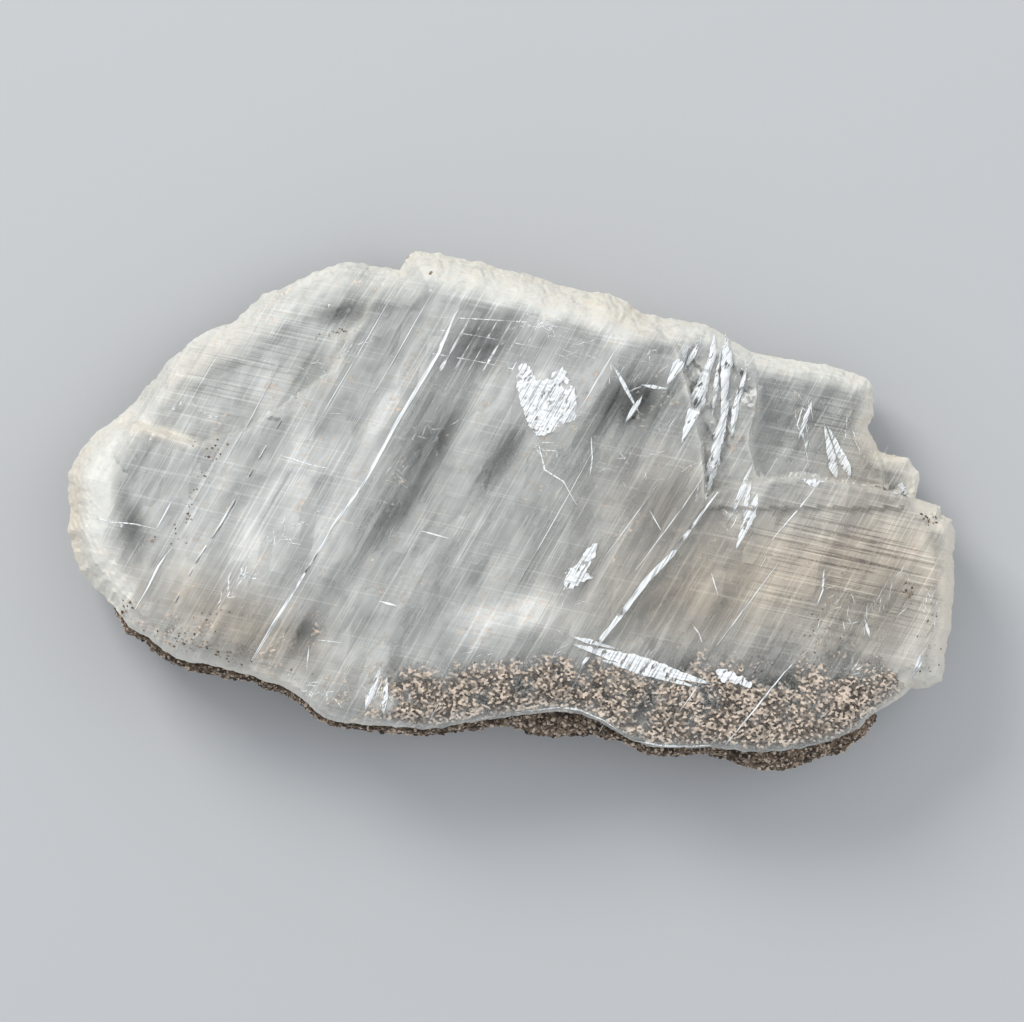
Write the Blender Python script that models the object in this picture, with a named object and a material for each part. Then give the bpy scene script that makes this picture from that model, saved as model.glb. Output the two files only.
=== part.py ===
"""A slab of clear gypsum (selenite) lying on its back cleavage face, with sand and clay crusted
along its lower broken edge.

+X runs along the slab's length, +Y across its width and +Z out of its front cleavage face.
The back cleavage face lies on Z = 0, and the origin is the middle of the slab's footprint.
Lengths are worked out in millimetres and written to the meshes in metres.
"""

import math
from dataclasses import dataclass
from enum import IntEnum

import bmesh
import bpy
import numpy as np
from mathutils import Vector, noise
from mathutils.geometry import delaunay_2d_cdt

MM = 0.001

# Heights of the cleavage plates above the back face
FRONT_PLATE = 24.0
LEFT_PLATE = 20.0
SHATTERED_LEDGE = 21.0
RIGHT_PLATE = 17.5
TAB_PLATE = 13.5
LEFT_STRIP_DROP = 0.7
RIGHT_STRIP_DROP = 0.9
BACK_LEDGE = 0.8

# The two cleavage directions, in degrees from +X
CLEAVAGE = 60.0
CROSS_CLEAVAGE = -12.0

# Spacing of the surface points, and the width of a step between two plates
TOP_SPACING = 3.0
BACK_SPACING = 6.5
UNDERCUT_SPACING = 2.2
OUTLINE_SPACING = 2.6
RISER = 1.4
LINE_SPACING = 2.4
LATTICE_REACH = 100.0

# How far surface points stay from the outline, from the lines and from the ends of the slopes
CLEAR_OF_RIM = 0.7
CLEAR_OF_TOP_LINES = 0.9
CLEAR_OF_BACK_LINES = 1.2
CLEAR_OF_SLOPE = 0.8
CLEAR_OF_UNDERCUT = 2.0
UNDERCUT_MARGIN = 1.0
RING_KEPT = 0.8

# Unevenness: of the outline between its points, of the broken edges and of the plates
OUTLINE_JITTER = 0.25
BROKEN_RELIEF = 1.5
PLATE_RELIEF = 0.18
SHATTERED_RELIEF = 0.9
BROKEN_GRAIN = 3.2
PLATE_GRAIN = 9.0

# The broken edges climb in ledges of this height, each with a tread of this share
LAMINA = 1.9
TREAD = 0.5

# The crust: its gap to the crystal, and how it hugs the edge
GAP = 0.3
UNDER_GAP = 0.6
CRUST_LOWEST = 0.35
CRUST_END = 1.5
REACH_STEP = 0.25
CRUST_BELOW = 2.3
CRUST_BELOW_HEAD = 4.0
CRUST_TOP_WAVE = 1.5
CRUST_TOP_GRAIN = 8.0
CRUST_LUMP = 0.55
CRUST_GRAIN = 2.4
INWARD_LEAN = math.radians(25)
HALF_LENGTH = 69.0

CRYSTAL_COLOUR = (0.78, 0.80, 0.78)
CRUST_COLOUR = (0.21, 0.16, 0.12)


class Pattern(IntEnum):
    """Which of many noise patterns gives each surface its unevenness."""

    RIM_X = 3
    RIM_Y = 7
    BROKEN_EDGE = 11
    PLATE = 17
    SHATTERED = 19
    CRUST_TOP = 23
    CRUST_INNER = 27
    CRUST_UNDER = 29
    CRUST_BOTTOM = 31
    CRUST_FOOT = 37
    CRUST_SIDE = 41
    CRUST_SHOULDER = 43


@dataclass(frozen=True)
class Edge:
    """How the slab's edge is shaped: a wall from foot to head, and the faces above and below it.

    foot, head: heights of the wall's two ends.
    band, share: width of the steep face above the wall, and its share of the rise to the plate.
    slope: distance from the outline at which the plate is reached.
    undercut: width of the face that runs from the wall's foot in to the back face.
    """

    foot: float
    head: float
    band: float
    share: float
    slope: float
    undercut: float


@dataclass(frozen=True)
class OpenCrack:
    """A wedge-shaped gap that cleavage has opened in the front face.

    line: its path, seen from above, from one pointed end to the other.
    width, depth: its width and depth at its widest place.
    widest: where along the path that place is, from 0 to 1.
    """

    line: tuple
    width: float
    depth: float
    widest: float


LEFT_END = Edge(foot=6.5, head=10.5, band=3.2, share=0.62, slope=9.0, undercut=3.0)
UPPER_LEFT = Edge(foot=6.0, head=10.0, band=2.4, share=0.55, slope=6.0, undercut=3.0)
TOP_RIM = Edge(foot=7.5, head=13.0, band=2.2, share=0.45, slope=6.2, undercut=2.5)
UPPER_RIGHT = Edge(foot=6.0, head=11.0, band=1.6, share=0.5, slope=3.6, undercut=2.5)
TAB = Edge(foot=5.0, head=10.0, band=1.2, share=0.5, slope=2.6, undercut=2.0)
RIGHT_END = Edge(foot=7.0, head=16.0, band=1.5, share=0.6, slope=3.6, undercut=4.0)
LOWER_RIGHT = Edge(foot=10.0, head=21.0, band=0.7, share=0.75, slope=2.2, undercut=14.0)
LOWER_MIDDLE = Edge(foot=8.0, head=20.0, band=0.8, share=0.7, slope=2.4, undercut=8.5)
LOWER_LEFT = Edge(foot=7.0, head=18.5, band=1.0, share=0.65, slope=2.8, undercut=4.5)

# The outline clockwise from the lower left corner, one stretch for each kind of edge
BARE_STRETCHES = (
    (
        LEFT_END,
        (
            (-62.6, -13.7), (-65.1, -11.5), (-66.8, -9.7), (-68.0, -6.4), (-69.0, -2.9),
            (-68.5, -0.2), (-69.0, 3.2), (-68.8, 6.1), (-67.7, 8.4), (-65.6, 11.4), (-63.9, 12.9),
        ),
    ),
    (
        UPPER_LEFT,
        (
            (-61.5, 14.5), (-58.3, 17.4), (-56.9, 19.5), (-55.0, 21.0), (-53.9, 23.0),
            (-49.4, 26.9), (-46.5, 28.6), (-43.4, 29.5), (-40.8, 31.7), (-38.8, 33.9),
            (-34.4, 35.4), (-30.8, 37.3), (-27.3, 38.5), (-25.3, 39.1), (-21.4, 38.5),
            (-17.2, 37.7),
        ),
    ),
    (
        TOP_RIM,
        (
            (-16.1, 39.8), (-14.7, 40.5), (-10.8, 40.2), (-7.9, 39.4), (-3.7, 38.7), (-0.9, 37.6),
            (2.6, 37.1), (5.1, 36.3), (7.3, 35.3), (12.2, 34.3), (15.5, 33.9), (18.3, 32.6),
            (20.6, 30.9),
        ),
    ),
    (
        UPPER_RIGHT,
        (
            (25.6, 30.1), (30.2, 29.2), (32.4, 28.3), (34.4, 26.9), (37.0, 25.3), (39.8, 24.4),
            (44.8, 23.6), (49.1, 23.0), (53.0, 21.9), (55.5, 20.8), (56.6, 19.5), (56.6, 14.8),
            (55.8, 12.9),
        ),
    ),
    (TAB, ((57.7, 9.4), (60.1, 8.9), (62.2, 8.4), (63.7, 6.3), (63.9, 4.9), (63.2, 2.2))),
    (
        RIGHT_END,
        (
            (66.8, 0.9), (66.8, -0.4), (68.5, -1.3), (69.0, -4.0), (68.7, -6.4), (68.8, -8.6),
            (68.7, -12.9), (68.2, -18.7), (67.3, -22.1), (67.3, -24.6), (66.8, -26.4),
            (64.8, -27.4), (62.2, -27.5), (59.1, -29.7),
        ),
    ),
)

# The same for the lower edge, where each point also has the crust's thickness
CRUSTED_STRETCHES = (
    (
        LOWER_RIGHT,
        (
            (56.2, -31.0, 1.2), (53.6, -33.4, 2.0), (50.6, -34.9, 2.5), (46.8, -36.0, 2.2),
            (43.2, -36.8, 3.3), (38.8, -37.1, 3.0), (34.9, -36.9, 2.0), (31.0, -36.3, 1.1),
            (26.4, -36.5, 1.3), (21.4, -36.3, 1.3), (17.5, -34.8, 0.9),
        ),
    ),
    (
        LOWER_MIDDLE,
        (
            (14.3, -32.7, 2.2), (10.8, -31.3, 3.6), (7.3, -30.9, 3.9), (2.6, -31.3, 3.2),
            (0.0, -31.7, 1.5), (-3.4, -32.2, 1.3), (-7.8, -32.8, 1.1), (-10.5, -33.4, 1.1),
            (-13.0, -33.6, 1.1), (-17.1, -33.3, 1.1), (-22.2, -33.0, 1.0), (-27.0, -32.4, 1.0),
            (-29.6, -31.2, 1.0), (-30.8, -30.0, 1.1),
        ),
    ),
    (
        LOWER_LEFT,
        (
            (-33.0, -28.2, 1.2), (-35.3, -26.9, 1.1), (-37.5, -26.4, 1.1), (-40.0, -25.4, 1.2),
            (-43.1, -24.6, 1.4), (-46.5, -23.7, 1.5), (-49.9, -23.3, 1.3), (-52.4, -22.2, 1.2),
            (-54.2, -21.0, 1.2), (-55.8, -19.5, 1.2), (-58.6, -18.0, 1.2), (-60.0, -16.2, 0.9),
            (-61.2, -14.8, 0.6),
        ),
    ),
)

# The steps between plates, each from rim to rim
LEFT_STEP = (
    (-16.7, 38.7), (-18.9, 35.4), (-21.1, 32.5), (-22.3, 29.8), (-24.3, 27.4), (-25.7, 24.7),
    (-27.0, 21.8), (-33.5, 17.2), (-40.3, 12.6), (-48.4, 10.3), (-58.1, 14.0), (-63.9, 12.5),
)
RIGHT_STEP = (
    (20.5, 31.1), (21.9, 29.1), (23.7, 26.7), (25.6, 25.8), (27.6, 18.0), (29.4, 11.1),
    (30.2, 2.6), (34.0, 4.0), (38.8, 4.9), (45.4, 5.2), (57.4, 3.3), (63.2, 2.2), (66.8, 0.9),
)
SHATTERED_STEP = ((34.4, 26.9), (37.5, 24.3), (38.3, 17.3), (36.9, 11.1), (38.3, 5.2))
TAB_STEP = ((55.8, 12.9), (57.4, 8.6), (58.0, 3.3))
LEFT_STRIP_STEP = (
    (-34.9, 14.2), (-39.5, 6.3), (-44.3, -1.9), (-48.0, -7.5), (-51.9, -15.1), (-55.2, -19.4),
)
RIGHT_STRIP_STEP = (
    (29.9, 0.5), (25.0, -6.3), (20.3, -11.7), (17.1, -15.6), (14.4, -19.0), (11.2, -23.2),
    (7.9, -29.7),
)
# The gaps that run through the crystal: a long thin one, and a wide one that follows a step
LONG_CRACK = OpenCrack(
    (
        (-9.0, 28.8), (-10.8, 24.4), (-17.1, 14.0), (-22.0, 4.9), (-27.1, -2.2), (-31.3, -9.4),
        (-35.6, -16.5), (-37.9, -20.6),
    ),
    width=0.6, depth=9.0, widest=0.15,
)
WIDE_CRACK = OpenCrack(RIGHT_STRIP_STEP[:6], width=1.0, depth=12.0, widest=0.45)

BACK_STEP = ((12.0, -36.0), (22.0, -16.0), (27.0, -12.0), (39.0, 10.0), (46.0, 26.0))

# Points well outside the outline that close each step line into the area of its plate
ABOVE_LEFT = ((-90.0, 12.5), (-90.0, 60.0), (-16.7, 60.0))
ABOVE_RIGHT = ((90.0, 0.9), (90.0, 60.0), (20.5, 60.0))
BEYOND_LEDGE = (
    (45.4, 5.2), (57.4, 3.3), (63.2, 2.2), (66.8, 0.9), (90.0, 0.9), (90.0, 60.0), (34.4, 60.0),
)
BESIDE_TAB = ((90.0, 3.3), (90.0, 12.9))
BEYOND_LEFT_STRIP = ((-55.2, -60.0), (-90.0, -60.0), (-90.0, 14.2))
BEYOND_RIGHT_STRIP = ((7.9, -60.0), (90.0, -60.0), (90.0, 0.5))
BEYOND_BACK_STEP = ((90.0, 26.0), (90.0, -60.0), (12.0, -60.0))


def clear_scene():
    """Removes every object that is there at the start."""
    for obj in list(bpy.data.objects):
        bpy.data.objects.remove(obj, do_unlink=True)


def wobble(x, y, grain, layer):
    """Smooth unevenness between about -1 and 1, with features of the size of grain."""
    return noise.noise(Vector((x / grain, y / grain, float(layer))))


def ledged(height):
    """The height moved towards the nearest of the evenly spaced ledges."""
    step = math.floor(height / LAMINA)
    part = height / LAMINA - step
    return LAMINA * (step + min(1.0, max(0.0, (part - TREAD / 2) / (1 - TREAD))))


def inside(area, x, y):
    """True where (x, y) is inside the closed polygon."""
    odd = False
    for (ax, ay), (bx, by) in zip(area, area[1:] + area[:1]):
        if (ay > y) != (by > y) and x < ax + (y - ay) * (bx - ax) / (by - ay):
            odd = not odd
    return odd


def refined(points, spacing):
    """The open line through points, with further points at most spacing apart."""
    line = []
    for (ax, ay), (bx, by) in zip(points, points[1:]):
        count = max(1, math.ceil(math.hypot(bx - ax, by - ay) / spacing))
        line += [(ax + (bx - ax) * i / count, ay + (by - ay) * i / count) for i in range(count)]
    return line + [points[-1][:2]]


def side_vectors(line, closed):
    """The unit vector to the left of the line at each of its points."""
    count = len(line)
    sides = []
    for i in range(count):
        before = line[i - 1] if closed or i else line[i]
        after = line[(i + 1) % count] if closed or i < count - 1 else line[i]
        dx, dy = after[0] - before[0], after[1] - before[1]
        length = math.hypot(dx, dy)
        sides.append((-dy / length, dx / length))
    return sides


def rim_points():
    """The outline's points as (x, y, edge, crust thickness), clockwise, with crust 0 where bare."""
    given = [(x, y, edge, 0.0) for edge, points in BARE_STRETCHES for x, y in points]
    given += [(x, y, edge, crust) for edge, points in CRUSTED_STRETCHES for x, y, crust in points]
    rim = []
    for here, then in zip(given, given[1:] + given[:1]):
        rim.append(here)
        crusted = here[3] > 0 and then[3] > 0
        count = math.ceil(math.hypot(then[0] - here[0], then[1] - here[1]) / OUTLINE_SPACING)
        for i in range(1, count):
            part = i / count
            x = here[0] + (then[0] - here[0]) * part
            y = here[1] + (then[1] - here[1]) * part
            x += OUTLINE_JITTER * wobble(x, y, 1.0, Pattern.RIM_X)
            y += OUTLINE_JITTER * wobble(x, y, 1.0, Pattern.RIM_Y)
            rim.append((x, y, here[2], (here[3] + (then[3] - here[3]) * part) * crusted))
    return rim


class Gap:
    """One open crack with its shape worked out along its path."""

    def __init__(self, crack):
        self.crack = crack
        self.line = refined(crack.line, LINE_SPACING)
        self.start = np.array(self.line[:-1])
        self.step = np.array(self.line[1:]) - self.start
        lengths = np.hypot(*self.step.T)
        self.shares = np.concatenate([[0.0], np.cumsum(lengths)]) / lengths.sum()

    def opened(self, share):
        """How far the crack is open at a share of its length, from 0 at its ends to 1."""
        widest = self.crack.widest
        return share / widest if share < widest else (1 - share) / (1 - widest)

    def lines(self):
        """Both rims and the bottom of the crack, as lines that meet at its pointed ends."""
        sides = side_vectors(self.line, closed=False)
        lines = []
        for sign in (-1, 0, 1):
            line = []
            for (x, y), (sx, sy), share in zip(self.line, sides, self.shares):
                away = sign * self.opened(share) * self.crack.width / 2
                line.append((x + sx * away, y + sy * away))
            lines.append(line)
        return lines

    def depth(self, x, y):
        """How far the surface is cut down at (x, y)."""
        away = np.array((x, y)) - self.start
        along = np.clip((away * self.step).sum(1) / (self.step**2).sum(1), 0, 1)
        distances = np.hypot(*(away - along[:, None] * self.step).T)
        i = int(distances.argmin())
        share = self.shares[i] + (self.shares[i + 1] - self.shares[i]) * along[i]
        opened = float(self.opened(share))
        half = opened * self.crack.width / 2
        if distances[i] >= half:
            return 0.0
        return self.crack.depth * opened * (1 - float(distances[i]) / half)


class Slab:
    """The crystal's shape as heights over its outline."""

    def __init__(self):
        self.rim = rim_points()
        self.outline = [point[:2] for point in self.rim]
        self.start = np.array(self.outline)
        self.step = np.roll(self.start, -1, axis=0) - self.start
        edges = np.array(
            [[e.foot, e.head, e.band, e.share, e.slope, e.undercut] for _, _, e, _ in self.rim]
        )
        # Each kind of edge passes over into the next within a few points.
        self.edges = sum(np.roll(edges, shift, axis=0) for shift in range(-2, 3)) / 5
        self.plates = (
            (LEFT_STEP + ABOVE_LEFT, LEFT_PLATE),
            (RIGHT_STEP + ABOVE_RIGHT, SHATTERED_LEDGE),
            (SHATTERED_STEP + BEYOND_LEDGE, RIGHT_PLATE),
            (TAB_STEP + BESIDE_TAB, TAB_PLATE),
        )
        self.strips = (
            (LEFT_STRIP_STEP + BEYOND_LEFT_STRIP, LEFT_STRIP_DROP),
            (RIGHT_STRIP_STEP + BEYOND_RIGHT_STRIP, RIGHT_STRIP_DROP),
        )
        self.gaps = (Gap(LONG_CRACK), Gap(WIDE_CRACK))

    def nearest_edge(self, x, y):
        """The distance to the outline, and the edge's sizes at the nearest point of it."""
        away = np.array((x, y)) - self.start
        along = np.clip((away * self.step).sum(1) / (self.step**2).sum(1), 0, 1)
        distances = np.hypot(*(away - along[:, None] * self.step).T)
        i = int(distances.argmin())
        then = (i + 1) % len(self.edges)
        sizes = self.edges[i] * (1 - along[i]) + self.edges[then] * along[i]
        return float(distances[i]), Edge(*(float(size) for size in sizes))

    def plate(self, x, y):
        """Height of the cleavage plate at (x, y)."""
        height = FRONT_PLATE
        for area, drop in self.strips:
            if inside(area, x, y):
                height -= drop
        for area, level in self.plates:
            if inside(area, x, y):
                height = level
        return height

    def top(self, x, y):
        """Height of the slab's upper surface."""
        distance, edge = self.nearest_edge(x, y)
        if distance < edge.band:
            share = edge.share * distance / edge.band
        else:
            share = edge.share + (1 - edge.share) * (distance - edge.band) / (edge.slope - edge.band)
        share = min(share, 1.0)
        plate = self.plate(x, y)
        height = edge.head + (plate - edge.head) * share
        height += BROKEN_RELIEF * (1 - share) * wobble(x, y, BROKEN_GRAIN, Pattern.BROKEN_EDGE)
        if share < 1:
            height = ledged(height)
        if plate == SHATTERED_LEDGE:
            height += SHATTERED_RELIEF * share * wobble(x, y, BROKEN_GRAIN, Pattern.SHATTERED)
        height += PLATE_RELIEF * (wobble(x, y, PLATE_GRAIN, Pattern.PLATE) * share - 0.5)
        return height - sum(gap.depth(x, y) for gap in self.gaps)

    def back(self, x, y):
        """Height of the slab's lower surface."""
        distance, edge = self.nearest_edge(x, y)
        rise = edge.foot * max(0.0, 1 - distance / edge.undercut)
        level = BACK_LEDGE if inside(BACK_STEP + BEYOND_BACK_STEP, x, y) else 0.0
        return max(rise, level)


def lattice(slab, spacing, clearance):
    """Points along the two cleavage directions that are at least clearance inside the outline."""
    a = Vector((math.cos(math.radians(CLEAVAGE)), math.sin(math.radians(CLEAVAGE))))
    b = Vector((math.cos(math.radians(CROSS_CLEAVAGE)), math.sin(math.radians(CROSS_CLEAVAGE))))
    reach = math.ceil(LATTICE_REACH / spacing)
    points = []
    for i in range(-reach, reach + 1):
        for j in range(-reach, reach + 1):
            x, y = a * (i * spacing) + b * (j * spacing)
            if inside(slab.outline, x, y) and slab.nearest_edge(x, y)[0] > clearance(x, y):
                points.append((x, y))
    return points


def ring(slab, widths):
    """Points inside the outline at the given distances, where they stay that far from it."""
    sides = side_vectors(slab.outline, closed=True)
    points = []
    for i, ((x, y), (sx, sy)) in enumerate(zip(slab.outline, sides)):
        edge = Edge(*slab.edges[i])
        for width in widths(edge):
            px, py = x - sx * width, y - sy * width
            if inside(slab.outline, px, py) and slab.nearest_edge(px, py)[0] > RING_KEPT * width:
                points.append((px, py))
    return points


def step_lines(slab, steps):
    """Both edges of each step, clear of the outline, as lines of points."""
    lines = []
    for step in steps:
        line = refined(step, LINE_SPACING)
        for sign in (-1, 1):
            run = []
            for (x, y), (sx, sy) in zip(line, side_vectors(line, closed=False)):
                px, py = x + sign * sx * RISER / 2, y + sign * sy * RISER / 2
                if inside(slab.outline, px, py) and slab.nearest_edge(px, py)[0] > CLEAR_OF_RIM:
                    run.append((px, py))
            lines.append(run)
    return lines


def surface(slab, lines, points):
    """Triangles over the outline that keep the lines as edges, as (points, triangles).

    The outline's own points come first, in order.
    """
    flat = [Vector(point) for point in slab.outline]
    count = len(flat)
    edges = []
    for line in lines:
        first = len(flat)
        flat += [Vector(point) for point in line]
        edges += [(first + i, first + i + 1) for i in range(len(line) - 1)]
    flat += [Vector(point) for point in points]
    found, _, faces, origins, _, _ = delaunay_2d_cdt(
        flat, edges, [list(range(count))], 1, 1e-4
    )
    order = {}
    for new, olds in enumerate(origins):
        for old in olds:
            order[old] = new
    place = {order[i]: i for i in range(count)}
    kept = [Vector(point) for point in slab.outline]
    for new, point in enumerate(found):
        if new not in place:
            place[new] = len(kept)
            kept.append(point)
    return [tuple(point) for point in kept], [[place[i] for i in face] for face in faces]


def under_edge(slab, x, y):
    """True where (x, y) is over the undercut face."""
    distance, edge = slab.nearest_edge(x, y)
    return distance < edge.undercut - UNDERCUT_MARGIN


def far_from_lines(lines, points, gap):
    """The points that are at least gap away from every point of the lines."""
    on_lines = np.array([point for line in lines for point in line])
    return [p for p in points if np.hypot(*(on_lines - np.array(p)).T).min() > gap]


def add_object(name, material, vertices, faces):
    """A new object of the closed mesh, with its faces pointing out."""
    mesh = bpy.data.meshes.new(name)
    mesh.from_pydata([tuple(c * MM for c in vertex) for vertex in vertices], [], faces)
    shape = bmesh.new()
    shape.from_mesh(mesh)
    bmesh.ops.recalc_face_normals(shape, faces=shape.faces)
    bmesh.ops.triangulate(shape, faces=shape.faces)
    shape.to_mesh(mesh)
    shape.free()
    mesh.materials.append(material)
    obj = bpy.data.objects.new(name, mesh)
    bpy.context.scene.collection.objects.link(obj)
    return obj


def make_material(name, colour, roughness, alpha=1.0, transmission=0.0):
    """A plain material of the given colour."""
    material = bpy.data.materials.new(name)
    material.use_nodes = True
    shader = material.node_tree.nodes["Principled BSDF"]
    shader.inputs["Base Color"].default_value = (*colour, 1.0)
    shader.inputs["Roughness"].default_value = roughness
    shader.inputs["Metallic"].default_value = 0.0
    shader.inputs["Alpha"].default_value = alpha
    shader.inputs["Transmission Weight"].default_value = transmission
    return material


def build_selenite(slab):
    """The crystal: an upper and a lower surface, joined by the wall around the outline."""
    plate_steps = (LEFT_STEP, RIGHT_STEP, SHATTERED_STEP, TAB_STEP)
    lines = step_lines(slab, plate_steps + (LEFT_STRIP_STEP, RIGHT_STRIP_STEP[5:]))
    lines += [line for gap in slab.gaps for line in gap.lines()]
    inner = lattice(
        slab, TOP_SPACING, lambda x, y: slab.nearest_edge(x, y)[1].slope + CLEAR_OF_SLOPE
    )
    inner += ring(slab, lambda e: (e.band / 2, e.band))
    inner += ring(slab, lambda e: tuple(e.band + (e.slope - e.band) * i / 3 for i in (1, 2, 3)))
    flat, faces = surface(slab, lines, far_from_lines(lines, inner, CLEAR_OF_TOP_LINES))
    count = len(slab.outline)
    vertices = [(x, y, slab.top(x, y)) for x, y in flat]

    back_lines = step_lines(slab, (BACK_STEP,))
    inner = lattice(
        slab, BACK_SPACING, lambda x, y: slab.nearest_edge(x, y)[1].undercut + CLEAR_OF_UNDERCUT
    )
    undercut = lattice(slab, UNDERCUT_SPACING, lambda x, y: UNDERCUT_MARGIN)
    inner += [point for point in undercut if under_edge(slab, *point)]
    inner += ring(slab, lambda e: (e.undercut,))
    inner = far_from_lines(back_lines, inner, CLEAR_OF_BACK_LINES)
    back_flat, back_faces = surface(slab, back_lines, inner)
    base = len(vertices)
    vertices += [(x, y, slab.back(x, y)) for x, y in back_flat]
    faces += [[base + i for i in reversed(face)] for face in back_faces]

    for i in range(count):
        then = (i + 1) % count
        faces.append([i, then, base + then, base + i])
    clear = make_material("clear_gypsum", CRYSTAL_COLOUR, 0.12, alpha=0.35, transmission=1.0)
    return add_object("selenite", clear, vertices, faces)


def crust_section(slab, i, outward, inward):
    """The crust's outline at the rim's point i: (x, y, z) around it from the crystal's wall."""
    x, y, _, thick = slab.rim[i]
    edge = Edge(*slab.edges[i])
    wave = CRUST_TOP_WAVE * wobble(x, y, CRUST_TOP_GRAIN, Pattern.CRUST_TOP)
    ceiling = edge.head - CRUST_BELOW_HEAD + wave

    def at(distance, height):
        """The point at a distance outside or, where it is negative, inside the rim."""
        way = outward if distance >= 0 else inward
        return (x + way[0] * abs(distance), y + way[1] * abs(distance), height)

    reach = edge.undercut
    while slab.back(*at(-reach, 0)[:2]) < CRUST_END and reach > REACH_STEP:
        reach -= REACH_STEP

    def under(share, depth):
        """The point under the crystal at a share of the reach, so far below its face."""
        px, py, _ = at(-share * reach, 0)
        return (px, py, max(CRUST_LOWEST, slab.back(px, py) - UNDER_GAP - depth))

    far_side = GAP + thick

    def lump(pattern):
        """Unevenness of the crust's outer side."""
        return CRUST_LUMP * min(1.0, thick) * wobble(x, y, CRUST_GRAIN, pattern)

    below = min(CRUST_BELOW, 0.25 * edge.foot + 0.6 * thick)
    return [
        at(GAP, ceiling),
        at(GAP, edge.foot - UNDER_GAP),
        under(0.25, 0.0),
        under(0.5, 0.0),
        under(0.75, 0.0),
        under(1.0, 0.0),
        under(0.97, CRUST_END),
        under(0.6, 0.7 * below + lump(Pattern.CRUST_INNER)),
        under(0.3, below + lump(Pattern.CRUST_UNDER)),
        at(0.5 * far_side, edge.foot - below + lump(Pattern.CRUST_BOTTOM)),
        at(far_side - 0.1, edge.foot + 0.5 + lump(Pattern.CRUST_FOOT)),
        at(far_side, (edge.foot + ceiling) / 2 + lump(Pattern.CRUST_SIDE)),
        at(GAP + 0.75 * thick, ceiling - 0.6 + lump(Pattern.CRUST_SHOULDER)),
        at(GAP + 0.4 * thick, ceiling + 0.3),
    ]


def build_crust(slab):
    """The crust: one section at each crusted point of the rim, joined and capped."""
    crusted = [i for i, point in enumerate(slab.rim) if point[3] > 0]
    sides = side_vectors(slab.outline, closed=True)
    sections = []
    for i in crusted:
        # Under the slab all sections lean the same way towards the middle, so none cross.
        lean = INWARD_LEAN * slab.outline[i][0] / HALF_LENGTH
        sections.append(crust_section(slab, i, sides[i], (-math.sin(lean), math.cos(lean))))
    around = len(sections[0])
    vertices = [point for section in sections for point in section]
    faces = []
    for k in range(len(sections) - 1):
        for j in range(around):
            then = (j + 1) % around
            here = k * around
            faces.append([here + j, here + then, here + around + then, here + around + j])
    last = (len(sections) - 1) * around
    faces.append(list(range(around)))
    faces.append([last + j for j in reversed(range(around))])
    brown = make_material("sand_and_clay", CRUST_COLOUR, 0.9)
    return add_object("grit_crust", brown, vertices, faces)


def main():
    """Builds both pieces."""
    clear_scene()
    slab = Slab()
    build_selenite(slab)
    build_crust(slab)


main()
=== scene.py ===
"""The looks of a clear gypsum (selenite) slab that lies on its back cleavage face.

The slab is see-through crystal with a frosted broken rim. White veils, cracks, flakes and hairs
follow its two cleavage directions, and sand and clay are crusted along its lower broken edge.
Shapes are worked out in millimetres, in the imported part's own frame, and written in metres.
"""

from __future__ import annotations

import logging
import math
from dataclasses import dataclass, field
from enum import Enum
from typing import Any, Callable, Iterable, Sequence

import bpy
import numpy as np
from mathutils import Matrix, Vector, noise
from mathutils.geometry import delaunay_2d_cdt

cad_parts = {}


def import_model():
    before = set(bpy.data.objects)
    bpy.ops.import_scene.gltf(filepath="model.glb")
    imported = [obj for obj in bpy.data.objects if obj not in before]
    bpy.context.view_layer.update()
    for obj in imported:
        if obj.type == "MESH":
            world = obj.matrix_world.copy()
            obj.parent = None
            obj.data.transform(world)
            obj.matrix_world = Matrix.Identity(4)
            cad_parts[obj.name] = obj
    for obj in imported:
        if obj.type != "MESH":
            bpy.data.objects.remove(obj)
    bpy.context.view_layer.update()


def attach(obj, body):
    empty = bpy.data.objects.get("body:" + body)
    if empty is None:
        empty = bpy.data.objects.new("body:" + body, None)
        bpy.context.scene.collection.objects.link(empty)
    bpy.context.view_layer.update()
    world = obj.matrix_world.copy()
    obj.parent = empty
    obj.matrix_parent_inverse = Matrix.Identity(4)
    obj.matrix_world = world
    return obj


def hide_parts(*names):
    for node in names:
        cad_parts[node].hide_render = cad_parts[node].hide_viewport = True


MM = 0.001

# The two cleavage directions, in degrees from +X
CLEAVAGE = 60.0
CROSS_CLEAVAGE = -12.0

log = logging.getLogger("gypsum")

Point = tuple[float, float]
Line = Sequence[Point]


# Heights and widths of the crystal, as in the solid that it replaces

FRONT_PLATE = 24.0
LEFT_PLATE = 20.0
SHATTERED_LEDGE = 21.0
RIGHT_PLATE = 17.5
TAB_PLATE = 13.5
LEFT_STRIP_DROP = 0.7
RIGHT_STRIP_DROP = 0.9
BACK_LEDGE = 0.8


@dataclass(frozen=True)
class Edge:
    """How the slab's edge is shaped: a wall from foot to head, and the faces above and below it.

    Args:
        foot: height of the wall's lower end.
        head: height of the wall's upper end.
        band: width of the steep face above the wall.
        share: that face's share of the rise to the plate.
        slope: distance from the outline at which the plate is reached.
        undercut: width of the face that runs from the wall's foot in to the back face.
        frost: how frosted the broken faces are, from 0 to 1.
    """

    foot: float
    head: float
    band: float
    share: float
    slope: float
    undercut: float
    frost: float

    def sizes(self) -> tuple[float, ...]:
        """The edge's numbers in order."""
        return (self.foot, self.head, self.band, self.share, self.slope, self.undercut, self.frost)


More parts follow.
